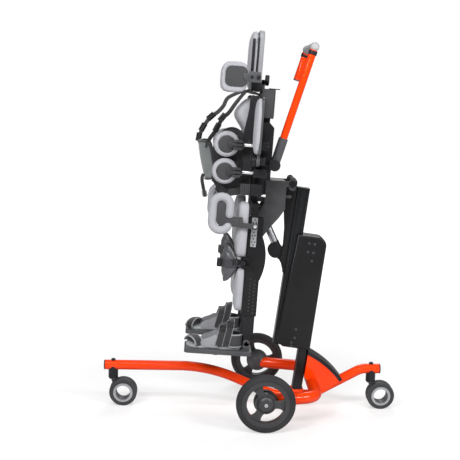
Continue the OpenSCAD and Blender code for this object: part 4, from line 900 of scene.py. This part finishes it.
# Head support: a shell behind the pad, its post and knob, and arms that carry the side pads
head = {
    "back": (("plate", ((-66, 66), (308, 518), 26), (138, 157), 7.0, 4),),
    "trim": (("block", (-172, -139), (40, 80), (311, 343), 3.0),
             ("plate", ((-179, -169), (338, 488), 4.8), (69, 76.2), 1.6),
             ("plate", ((-160.5, -154.5), (334, 492), 2.8), (60, 69), 1.2),
             ("rod", (-152, 137, 356), (-152, 143, 356), 8, 6, 1.0),
             ("rod", (-176, 137, 356), (-176, 142, 356), 5.5, 20, 1.0)),
    "post": (("block", (-140, -122), (-15, 15), (333, 352), 1.5),
             ("block", (-134, -122), (-15, 15), (240, 352), 1.2)),
    "arms": (("block", (-156, -146), (60, 132), (345, 367), 1.5),
             ("block", (-204, -146), (128.2, 133), (345, 367), 1.5),
             ("block", (-186, -146), (126.5, 138), (338, 374), 2.0)),
    "panels": (("plate", ((-265, -190), (320, 389), 20), (126.4, 130.6), 1.4),),
    "knobAt": (-122, 0, 352), "knob": (20, 14, 5),  # radius, depth and lobes
}


def makeHead():
    def show(bm, name, finish, nodes=()):
        showPart(bm, name, boardFrame, finish, "head_support", nodes)

    show(shaped(head["back"], place=turned(90, "Z")), "headBack", "shellGrey")
    show(shaped(head["trim"], sideNames), "headTrim", "blackPlastic")
    bm = shaped(head["post"])
    addShapes(bm, head["arms"], sideNames)
    show(bm, "headShell", "greyPlastic", ("head_frame",))
    bm = bmesh.new()
    addKnob(bm, moved(*head["knobAt"]) @ turned(90, "Y"), *head["knob"])
    show(bm, "headKnob", "blackPlastic")
    show(shaped(head["panels"], sideNames), "headSidePanels", "softGrey")


makeHead()

# Arm supports: a moulded shell on its pivot, with its pad
arm = {"shell": (("plate", ((150, 230), (98, 291), 20), (131, 139), 3.0, 3),
                 ("block", (174, 206), (131.6, 142.4), (70, 110), 1.5)),
       "pivot": (("rod", (-143, 190, 78), (-131, 190, 78), 18, 36, 1.5),)}
for side, name in sideNames.items():
    bm = shaped(arm["shell"], place=turned(90, "Z"))
    addShapes(bm, arm["pivot"])
    showPart(bm, name + "ArmShell", onSide(boardFrame, side), "greyPlastic", name + "_arm",
             (name + "_arm_support",))
    showPad(armPad if side > 0 else mirrored(armPad), name + "ArmCushion", name + "_arm")

# Trunk laterals: a foam ring round a dark plate, a clamp with its lever, and a bright rod
trunk = {"x": -243.0, "inner": 112.0, "tops": {"upper": 126.0, "lower": 33.4}, "voxel": 3.5, "cap": 3.0,
         "sides": {"puck": 72, "plate": 48}, "seat": (22.5, 30),  # held above this height, within this radius
         "puck": ((0, 0), (33, 0.2), (39.5, 2.6), (44, 8.5), (44.6, 14), (44, 20), (40.5, 25.4), (36.5, 27.4),
                  (32.5, 26.6), (30, 24.5), (28.6, 23.8), (0, 23.8)),
         "plate": ((0, 29.6), (25, 29.6), (28, 28.8), (29.2, 27.4), (29.2, 23.4), (0, 23.4)),
         "clamp": (("block", (-236, -186), (140.6, 148), (-12, 12), 2.0),
                   ("block", (-219.75, -190), (144, 157), (-17, -8), 2.0),
                   ("block", (-226, -190), (144, 157), (-4.5, 4.5), 2.0),
                   ("block", (-219.75, -190), (144, 157), (8, 17), 2.0),
                   ("rod", (-213, 144, 0), (-213, 159, 0), 6.5, 24, 1.2),
                   ("block", (-197, -184), (114, 149), (-11, 11), 2.2)),
         "rod": (("rod", (-192, 125, 0), (-100, 125, 0), 6.5, 36, 0.8),)}


def makeTrunk():
    top, (seatZ, seatR) = trunk["tops"]["upper"], trunk["seat"]
    facing = moved(trunk["x"], trunk["inner"], 0) @ turned(-90, "X")
    bm = bmesh.new()
    addLathe(bm, trunk["puck"], still, trunk["sides"]["puck"])
    upper = swell(bm, boardFrame @ moved(0, 0, top) @ facing, "trunkPad", trunk["voxel"], trunk["cap"],
                  lambda p: p.z > seatZ and math.hypot(p.x, p.y) < seatR)
    for level, z in trunk["tops"].items():
        right = upper.copy()
        right.transform(Matrix.Translation(boardFrame.to_3x3() @ Vector((0, 0, z - top))))
        for side, name in sideNames.items():
            label, body = level + name.capitalize(), f"{level}_{name}_trunk"
            place = onSide(boardFrame, side) @ moved(0, 0, z)
            showPad(right if side > 0 else mirrored(right), label + "TrunkCushion", body,
                    (f"{level}_{name}_lateral",))
            bm = bmesh.new()
            addLathe(bm, trunk["plate"], facing, trunk["sides"]["plate"])
            showPart(bm, label + "TrunkPlate", place, "softGrey", body)
            showPart(shaped(trunk["clamp"]), label + "TrunkClamp", place, "wheelPlastic", body)
            showPart(shaped(trunk["rod"]), label + "TrunkRod", place, "steel", body)
    bpy.data.meshes.remove(upper)


makeTrunk()

# Hip laterals: a C of round foam about a plate on a sliding arm, drawn from the plate's centre
hip = {"at": (-246.0, 182.0, -106.0), "half": (29.0, 57.0), "bend": 28.5, "tubeR": 14.8, "voxel": 3.5, "cap": 2.2,
       "seat": (15.5, 7, 40), "tip": (-1, 9, 18), "back": (12, 0, -12), "bendSteps": 8,
       "tubeSides": 20, "capRings": 12, "capIn": 0.2,
       "plate": (("plate", ((-14.6, 14.6), (-40, 40), 14.4, 8), (-5, 5), 1.6),
                 ("block", (-6, 72), (-4.5, 4.5), (-43, -9), 2.0), ("block", (64, 74), (-6, 6), (-44, -8), 2.0),
                 ("block", (70, 128), (-4, 4), (-45, -27), 2.0)),
       "rod": (("rod", (118, -75, -36), (118, 6, -36), 6, 32, 0.8),)}


def hipPath():
    (w, h), r = hip["half"], hip["bend"]
    out = [(w, z) for z in hip["tip"]]
    for cx, cz, first, last in ((w - r, h - r, 0, 90), (r - w, h - r, 90, 180), (r - w, r - h, 180, 270),
                                (w - r, r - h, 270, 330)):
        out += [(cx + r * math.cos(a), cz + r * math.sin(a)) for a in arcAngles(first, last, hip["bendSteps"])]
        if first == 90:
            out += [(-w, z) for z in hip["back"]]
    return [Vector((x, 0, z)) for x, z in out]


def makeHips():
    bm, path = bmesh.new(), hipPath()
    addSweep(bm, path, ringSection(hip["tubeR"], hip["tubeSides"]), (0, 1, 0))
    for end in (path[0], path[-1]):
        bmesh.ops.create_uvsphere(bm, u_segments=hip["tubeSides"], v_segments=hip["capRings"],
                                  radius=hip["tubeR"] - hip["capIn"], matrix=Matrix.Translation(end))
    pad = swell(bm, boardFrame @ moved(*hip["at"]), "hipPad", hip["voxel"], hip["cap"],
                lambda p: all(abs(c) < reach for c, reach in zip(p, hip["seat"])))
    for side, name in sideNames.items():
        place = onSide(boardFrame, side) @ moved(*hip["at"])
        showPad(pad if side > 0 else mirrored(pad), name + "HipCushion", name + "_hip", (name + "_hip_lateral",))
        showPart(shaped(hip["plate"]), name + "HipPlate", place, "softGrey", name + "_hip")
        showPart(shaped(hip["rod"]), name + "HipRod", place, "steel", name + "_hip")


makeHips()
print("head, arms, trunk and hips dressed")

# Knee supports: a pleated cup that fans out from its hinge, with its piping, band and buckle
knee = {"x": -197.0, "y": 129.0, "low": -279.0, "r": 35.0, "draw": 0.34, "wall": 18.0, "full": 71.0, "least": 16.0,
        "flare": 2.4, "t": 4.0, "cells": (64, 48), "pleats": 9, "pleat": 3.4, "pleatShape": 0.6, "pleatFade": 1.5,
        "fanBack": 8, "piping": (2.3, 10), "pin": (-158.0, 162.0, -272.0), "barrelSides": 32,
        "barrel": ((4.1, -9.6), (7.4, -9.6), (8, -9), (8, 9), (7.4, 9.6), (4.1, 9.6)),
        "hinge": (("block", (-43, 2), (-1.6, 5.6), (-9, 9), 1.6), ("block", (-36, -31.5), (4, 8.5), (-11, 11), 1.0),
                  ("block", (-28, -23.5), (4, 8.5), (-11, 11), 1.0),
                  ("block", (-20, -15.5), (4, 8.5), (-11, 11), 1.0), ("rod", (0, 6, 0), (0, 20, 0), 9, 32, 2.0)),
        "bandStart": (-176, 168, -272), "bandR": 37.4, "bandArc": (86, -86, 20), "band": (26, 3),
        "buckle": {"left": (("block", (-247, -231), (130, 157), (-14, 14), 2.6),),
                   "right": (("block", (-238, -231), (130, 157), (-14, 14), 2.6),)}}


def kneePoint(i, j, inset):
    cols, rows = knee["cells"]
    full, spare = knee["full"], knee["full"] - knee["least"]
    arc = knee["r"] * math.pi / 2
    run = (2 * i / cols - 1) * (arc + knee["wall"])
    turn = max(-arc, min(arc, run)) / knee["r"]
    back = max(0, abs(run) - arc)
    ahead = knee["wall"] - back + knee["r"] * math.cos(turn)
    tall = full - spare * math.exp(-knee["flare"] * ahead / spare)
    s = 2 * j / rows - 1
    fan = math.atan2(s * tall, ahead + knee["fanBack"])
    fold = 1 - abs(math.sin(knee["pleats"] * fan)) ** knee["pleatShape"]
    crease = knee["pleat"] * fold * min(1, knee["pleatFade"] * abs(s))
    r = knee["r"] * (1 - knee["draw"] * (s * tall / full) ** 2) - inset - crease
    return Vector((knee["x"] - r * math.cos(turn) + back, knee["y"] + r * math.sin(turn), knee["low"] + s * tall))


def makeKnee(side, name):
    cols, rows = knee["cells"]
    body, place = name + "_knee", onSide(boardFrame, side)
    bm = bmesh.new()
    skins = [[[bm.verts.new(kneePoint(i, j, inset)) for j in range(rows + 1)] for i in range(cols + 1)]
             for inset in (0, knee["t"])]
    closeSkins(bm, skins, cols, rows)
    showPart(bm, name + "KneeCup", place, "kneeRubber", body, (name + "_knee_support",),
             sharpAt["knee"])
    bm = bmesh.new()
    for j in (0, rows):
        rim = [kneePoint(i, j, knee["t"] / 2) for i in range(cols + 1)]
        addSweep(bm, rim, ringSection(*knee["piping"]), (0, 0, 1))
    showPart(bm, name + "KneePiping", place, "webbing", body)
    bm = shaped(knee["hinge"])
    addLathe(bm, knee["barrel"], still, knee["barrelSides"])
    showPart(bm, name + "KneeHinge", place @ moved(*knee["pin"]), "blackPlastic", body)
    bm = bmesh.new()
    band = [Vector(knee["bandStart"])]
    band += [Vector((knee["x"] - knee["bandR"] * math.cos(a), knee["y"] + knee["bandR"] * math.sin(a), knee["low"]))
             for a in arcAngles(*knee["bandArc"])]
    addSweep(bm, band, ribbon(*knee["band"]), (0, 0, 1))
    showPart(bm, name + "KneeBand", place, "kneeWebbing", body)
    showPart(shaped(knee["buckle"][name]), name + "KneeBuckle", place @ moved(0, 0, knee["low"]), "blackPlastic",
             body)


for side, name in sideNames.items():
    makeKnee(side, name)

# Footplates, each on a pin between two ears
footY = 129.0
footplate = {"plate": (("plate", ((-338, -104), (-53, 53), 14), (597, 581), 2.4, 3),),
             "ears": (("block", (-136, -112), (20.3, 26.3), (-583, -556), 1.2),
                      ("rod", (-124, 20.3, -556), (-124, 26.3, -556), 12, 32, 1.2)),
             "pins": (("rod", (-124, -26.3, -556), (-124, 26.3, -556), 5, 24, 0.5),
                      ("rod", (-228, 0, -611), (-228, 0, -596), 9, 28, 1.5))}

# Sandals: a shaped sole, a toe band with a dark sheet of painted shade in its opening, two straps over their pale
# edges, a heel cup and side wraps
sandal = {"sole": ((-332, -140), (-36, 36), 34, 10), "soleZ": (572.6, 581.5), "soleEdge": (2.2, 3),
          "soleWave": {"mean": 0.9, "swing": 0.1, "shift": 296, "length": 70},
          "base": -575, "toeX": -307, "toeSkew": 20, "toeSize": (35, 27), "toeRound": 0.8, "toeArc": (4, 176, 20),
          "toeAcross": (1, -0.5, 0.2), "toeEdge": (32, 3.4), "toeBand": (21, 2.6), "toeOver": 2.8,
          "toeShade": {"inset": -2.4, "base": -576, "way": (35, -20, 0), "half": 3, "rows": 4},
          "straps": ({"top": -207, "feet": -222, "rise": 74, "wide": 22},
                     {"top": -181, "feet": -197, "rise": 92, "wide": 20}),
          "strapHalf": 37.5, "strapRound": 0.7, "strapArc": (2, 178, 24), "strapOver": 2.6, "strapT": 2.8,
          "strapEdge": 5, "strapAcross": (1, 0, 0.4), "buckle": (7, 180, 0.62),  # spot, turn and size
          "heelStart": ((-186, 34), (-180, 35)), "heelX": -174, "heelR": 36, "heelZ": -551, "heel": (44, 4),
          "heelArc": (90, -90, 20), "heelRims": (-529, -571), "heelRim": (3.2, 12),
          "posts": (("rod", (-187, 34.5, -572), (-187, 34.5, -528), 3.6, 16, 0.8),),
          "crest": ((-286, 34, -567), (-279, 35.5, -553), (-266, 37, -546), (-250, 37.6, -540),
                    (-236, 37.2, -532), (-222, 36.4, -531)), "crestSteps": 4,
          "wrapBase": -577, "wrapT": 3.6, "wrapRows": 5,
          "bend": ((-190, 0, -545), (-190, 0, -465))}


def makeFootplate(name, place):
    bm = shaped(footplate["plate"], place=turned(-90, "X"))
    addShapes(bm, footplate["ears"], sideNames)
    addShapes(bm, footplate["pins"])
    showPart(bm, name + "FootPlate", place, "greyPlastic", name + "_foot", (name + "_footplate",))


def makeSole(name, place):
    wave = sandal["soleWave"]
    outline = [(x, y * (wave["mean"] + wave["swing"] * math.cos((x + wave["shift"]) / wave["length"])))
               for x, y in roundedOutline(*sandal["sole"])]
    bm = bmesh.new()
    addPlate(bm, outline, *sandal["soleZ"], *sandal["soleEdge"])
    bm.transform(turned(-90, "X"))
    showPart(bm, name + "Sole", place, "soleCloth", name + "_foot")


def toeArch(rise):
    half, tall = sandal["toeSize"]
    return [Vector((sandal["toeX"] + sandal["toeSkew"] * math.cos(a), (half + rise) * math.cos(a),
                    sandal["base"] + (tall + rise) * math.sin(a) ** sandal["toeRound"]))
            for a in arcAngles(*sandal["toeArc"])]


def strapArch(strap, rise):
    out = []
    for a in arcAngles(*sandal["strapArc"]):
        h = math.sin(a) ** sandal["strapRound"]
        y = (sandal["strapHalf"] + rise) * math.copysign(abs(math.cos(a)) ** sandal["strapRound"], math.cos(a))
        out.append(Vector((strap["feet"] + (strap["top"] - strap["feet"]) * h, y,
                           sandal["base"] + (strap["rise"] + rise) * h)))
    return out


def addToes(dark, pale, toeShade):
    addSweep(pale, toeArch(0), ribbon(*sandal["toeEdge"]), sandal["toeAcross"])
    addSweep(dark, toeArch(sandal["toeOver"]), ribbon(*sandal["toeBand"]), sandal["toeAcross"])
    # The toe band's opening is filled with a dark sheet: painted shade
    spec = sandal["toeShade"]
    arch, low, rows = toeArch(spec["inset"]), spec["base"], spec["rows"]
    depth = Vector(spec["way"]).normalized() * spec["half"]
    closeSkins(toeShade, [[[toeShade.verts.new(Vector((p.x, p.y, low + (p.z - low) * j / rows)) + shift)
                          for j in range(rows + 1)] for p in arch] for shift in (depth, -depth)],
               len(arch) - 1, rows)


def addWraps(pale, heel):
    for z in sandal["heelRims"]:
        addSweep(pale, [p + Vector((0, 0, z)) for p in heel], ringSection(*sandal["heelRim"]), (0, 0, 1))
    low, rows = sandal["wrapBase"], sandal["wrapRows"]
    for edge in sideNames:
        addShapes(pale, sandal["posts"], (edge,))
        crest = smoothPath([(x, edge * y, z) for x, y, z in sandal["crest"]], sandal["crestSteps"])
        part = bmesh.new()
        closeSkins(part, [[[part.verts.new((p.x, p.y - edge * inset, low + (p.z - low) * j / rows))
                            for j in range(rows + 1)] for p in crest] for inset in (0, sandal["wrapT"])],
                   len(crest) - 1, rows)
        mergeInto(pale, part)


def makeSandal(name, place):
    body = name + "_foot"
    bend = (body, name + "_leg_slide", *(place @ Vector(p) for p in sandal["bend"]))
    dark, pale, toeShade, buckles = (bmesh.new() for _ in range(4))
    addToes(dark, pale, toeShade)
    # The dark sheet in the toe band's opening is painted shade
    showPart(toeShade, name + "ToeShadeSheet", place, "blackCloth", body)
    spot, turn, size = sandal["buckle"]
    for strap in sandal["straps"]:
        for rise, bm, wide in ((0, pale, strap["wide"] + sandal["strapEdge"]),
                               (sandal["strapOver"], dark, strap["wide"])):
            loop = strapArch(strap, rise)
            addSweep(bm, loop, ribbon(wide, sandal["strapT"]), sandal["strapAcross"])
        addBuckle(buckles, loop, spot, sandal["strapAcross"], turn, size)
    showPart(dark, name + "SandalStraps", place, "webbing", bend)
    showPart(buckles, name + "SandalBuckles", place, "blackPlastic", bend)
    heel = [(x, y, 0) for x, y in sandal["heelStart"]]
    heel += [(sandal["heelX"] + sandal["heelR"] * math.cos(a), sandal["heelR"] * math.sin(a), 0)
             for a in arcAngles(*sandal["heelArc"])]
    heel = [Vector(p) for p in heel + [(x, -y, 0) for x, y in sandal["heelStart"][::-1]]]
    bm = bmesh.new()
    addSweep(bm, [p + Vector((0, 0, sandal["heelZ"])) for p in heel], ribbon(*sandal["heel"]), (0, 0, 1))
    showPart(bm, name + "HeelCup", place, "softGrey", body)
    addWraps(pale, heel)
    showPart(pale, name + "SandalWraps", place, "shellGrey", bend)


for side, name in sideNames.items():
    place = onSide(boardFrame, side) @ moved(0, footY, 0)
    makeFootplate(name, place)
    makeSole(name, place)
    makeSandal(name, place)
print("knees and feet dressed")

# Chest vest and its webbing; the shoulder straps are listed as points with their twist
vest = {"size": (194, 144, 7.5), "edge": 5, "crown": 2.5, "waist": 0.06, "wrap": 44, "at": (-318, 0, 59),
        "lean": -14.0, "voxel": 3.5, "cap": 2.5, "seat": 1.5, "binding": (6.2, 3.2), "bindingIn": 1.6,
        "bindingSides": 14, "count": 56}
straps = {
    "left": (((-134, -74, 262), 0), ((-134, -76, 290), 0), ((-139, -80, 299), 5), ((-162, -85, 304), 12),
             ((-187, -86, 308), 22), ((-217, -85, 271), 30), ((-243, -84, 230), 32), ((-262, -84, 212), 32),
             ((-275, -82, 184), 32), ((-286, -82, 162), 32), ((-304, -80, 132), 32), ((-310, -78, 106), 30)),
    "right": (((-134, 74, 262), 0), ((-134, 76, 290), 0), ((-139, 80, 299), -5), ((-166, 84, 304), -12),
              ((-190, 84, 308), -20), ((-243, 80, 282), -28), ((-259, 76, 251), -30), ((-276, 76, 229), -30),
              ((-300, 74, 209), -30), ((-318, 72, 185), -30), ((-333, 70, 153), -30), ((-338, 70, 124), -30),
              ((-322, 70, 98), -30)),
    "waist": ((-282, 78, 11), (-275, 86, 6), (-258, 100, -20), (-238, 110, -40), (-204, 116, -36),
              (-172, 119, -27), (-149, 119, -24)),
    "tail": ((-314, -66, 14), (-318, -67, -4), (-312, -68, -32), (-302, -69, -66)),
    "size": (25, 2.5), "tailSize": (12, 2.4), "steps": 6, "buckles": {"left": (42, 50), "right": (48, 57, 64)},
    "buckleSize": 0.85, "tailBuckle": 0.5, "waistBuckle": 15,
    "anchors": (("block", (-186, -150), (114, 130), (-44, -6), 2.0),
                *(("block", (x, x + 3.5), (129, 133), (-42, -8), 1.0) for x in range(-184, -155, 7)))}


def makeVest():
    count = vest["count"]
    form = cushionForm(vest["size"], vest["edge"], vest["crown"], vest["waist"], vest["wrap"], count=count)
    form.verts.ensure_lookup_table()
    widest = range(2 * count, 3 * count)  # the form's third ring
    rim = [form.verts[i].co + Vector((-vest["bindingIn"], 0, 0)) for i in widest]
    place = boardFrame @ moved(*vest["at"]) @ turned(vest["lean"], "Y")
    wide, thick = vest["binding"]
    bm = bmesh.new()
    addSweep(bm, rim, [(wide * a, thick * b) for a, b in ringSection(1, vest["bindingSides"])], (1, 0, 0),
             closed=True)
    showPart(bm, "vestBinding", place, "webbing", "board")
    panel = swell(form, place, "vestPad", vest["voxel"], vest["cap"], lambda p: p.x > -vest["seat"])
    showPad(panel, "vestPanel", "board", ("chest_vest",), "vestCloth")


def makeHarness():
    steps, band = straps["steps"], ribbon(*straps["size"])
    bm, bits, anchors = bmesh.new(), bmesh.new(), bmesh.new()
    for label, spots in straps["buckles"].items():
        path = smoothPath([p for p, _ in straps[label]], steps)
        turns = [v.x for v in smoothPath([(t, 0, 0) for _, t in straps[label]], steps)]
        addSweep(bm, path, band, (0, 1, 0), twist=turns)
        for spot in spots:
            addBuckle(bits, path, spot, (0, 1, 0), turns[spot], straps["buckleSize"])
    tail = smoothPath(straps["tail"], steps)
    addSweep(bm, tail, ribbon(*straps["tailSize"]), (1, 0, 0.1))
    addBuckle(bits, tail, len(tail) - 3, (1, 0, 0), 0, straps["tailBuckle"])
    for side in sideNames:
        path = smoothPath([(x, side * y, z) for x, y, z in straps["waist"]], steps)
        addSweep(bm, path, band, (0, 0, 1))
        addBuckle(bits, path, straps["waistBuckle"], (0, 0, 1))
        addShapes(anchors, straps["anchors"], (side,))
    showPart(bm, "harnessWebbing", boardFrame, "webbing", "board", ("harness_straps",))
    showPart(bits, "harnessBuckles", boardFrame, "blackPlastic", "board")
    showPart(anchors, "waistAnchors", boardFrame, "softGrey", "board")


makeVest()
makeHarness()

# Side wings of the vest, from the front panel back to the board
wing = {"x": (-285, -150), "y": (93.5, 10.5), "t": 4.0, "cols": 26, "rows": 24,
        "top": {"z": 126, "arch": 54, "round": 0.8, "fall": 6}, "low": {"z": -6, "arch": 42, "turn": 0.85},
        "folds": ((1.2, 7, 4), (0.8, 17, -6)), "puff": 0.6}  # folds: height, and waves up and along


def wingPoint(u, v, inset):
    top, low = wing["top"], wing["low"]
    high = top["z"] + top["arch"] * math.sin(math.pi * u) ** top["round"] - top["fall"] * u
    deep = low["z"] - low["arch"] * math.sin(low["turn"] * math.pi * u)
    puff = math.sin(math.pi * u) * sum(h * math.sin(up * v + along * u) for h, up, along in wing["folds"])
    (front, back), (y, out) = wing["x"], wing["y"]
    return (front + (back - front) * u, y + out * (1 - (1 - u) ** 2) + wing["puff"] * puff - inset,
            deep + (high - deep) * v)


for side, name in sideNames.items():
    bm = bmesh.new()
    cols, rows = wing["cols"], wing["rows"]
    skins = [[[bm.verts.new(wingPoint(i / cols, j / rows, inset)) for j in range(rows + 1)]
              for i in range(cols + 1)] for inset in (0, wing["t"])]
    closeSkins(bm, skins, cols, rows)
    piece = showPart(bm, name + "VestWing", onSide(boardFrame, side), "blackCloth", "board", (),
                     sharpAt["wing"])

# Dark sides of the back cushion, the cap over the spine, and the rails behind the waist anchors
backTrim = {"tray": ((-147.5, 292), (-166, 297), (-174, 290), (-175, 245), (-184, 188), (-196, 130), (-196, 20),
                     (-147.5, 20)), "trayY": (97, 103.4), "trayEdge": 1.8,
            "cap": (("block", (-90, -85.2), (-52, 52), (224, 317), 1.6),),
            "capSides": (("block", (-132, -88), (50, 56.4), (222, 319), 1.6),),
            "rails": (("rod", (-130, 112, -43.5), (-96, 112, -43.5), 5, 24, 0.6),)}


def makeBackTrim():
    bm = bmesh.new()
    for side in sideNames:
        addPlate(bm, backTrim["tray"], *(side * y for y in backTrim["trayY"]), backTrim["trayEdge"])
    showPart(bm, "backSides", boardFrame, "blackPlastic", "board")
    bm = shaped(backTrim["cap"])
    addShapes(bm, backTrim["capSides"], sideNames)
    showPart(bm, "spineCap", boardFrame, "greyPlastic", "board")
    showPart(shaped(backTrim["rails"], sideNames), "waistRails", boardFrame, "steel", "board")


makeBackTrim()

# Leg frames: a bright strip by the hip and rows of adjustment holes down the channel
legMarks = {"outer": 153.0, "strip": (("plate", ((-138, -118), (-217, -116), 3), (153.0, 154.6), 0.5),),
            "hole": (2.3, 1.0, 16), "columns": ((-112, 0), (-127, 6)), "from": -448, "step": 12.5, "count": 10,
            "dimple": (2.4, 0.8, 16), "dimpleY": 154.4, "dimples": {"from": -211, "step": 11, "count": 9},
            "dimpleX": ((-128,), (-133, -123))}  # one and two by turns


def makeLegMarks():
    holes, dimples = [], []
    row = legMarks["dimples"]
    for side in sideNames:
        place = onSide(boardFrame, side)
        for x, offset in legMarks["columns"]:
            holes += marksAt(place, [(x, legMarks["outer"], legMarks["from"] + offset + k * legMarks["step"])
                                     for k in range(legMarks["count"])], (0, 1, 0))
        dimples += marksAt(place, [(x, legMarks["dimpleY"], row["from"] + k * row["step"])
                                   for k in range(row["count"]) for x in legMarks["dimpleX"][k % 2]], (0, 1, 0))
    showPart(shaped(legMarks["strip"], sideNames), "legStrips", boardFrame, "castSilver", "board")
    setRods("legHoles", holes, *legMarks["hole"], "softGrey", "board", "black_metal")
    setRods("stripHoles", dimples, *legMarks["dimple"], "blackSteel", "board", "black_steel")


makeLegMarks()
print("harness and leg marks dressed")
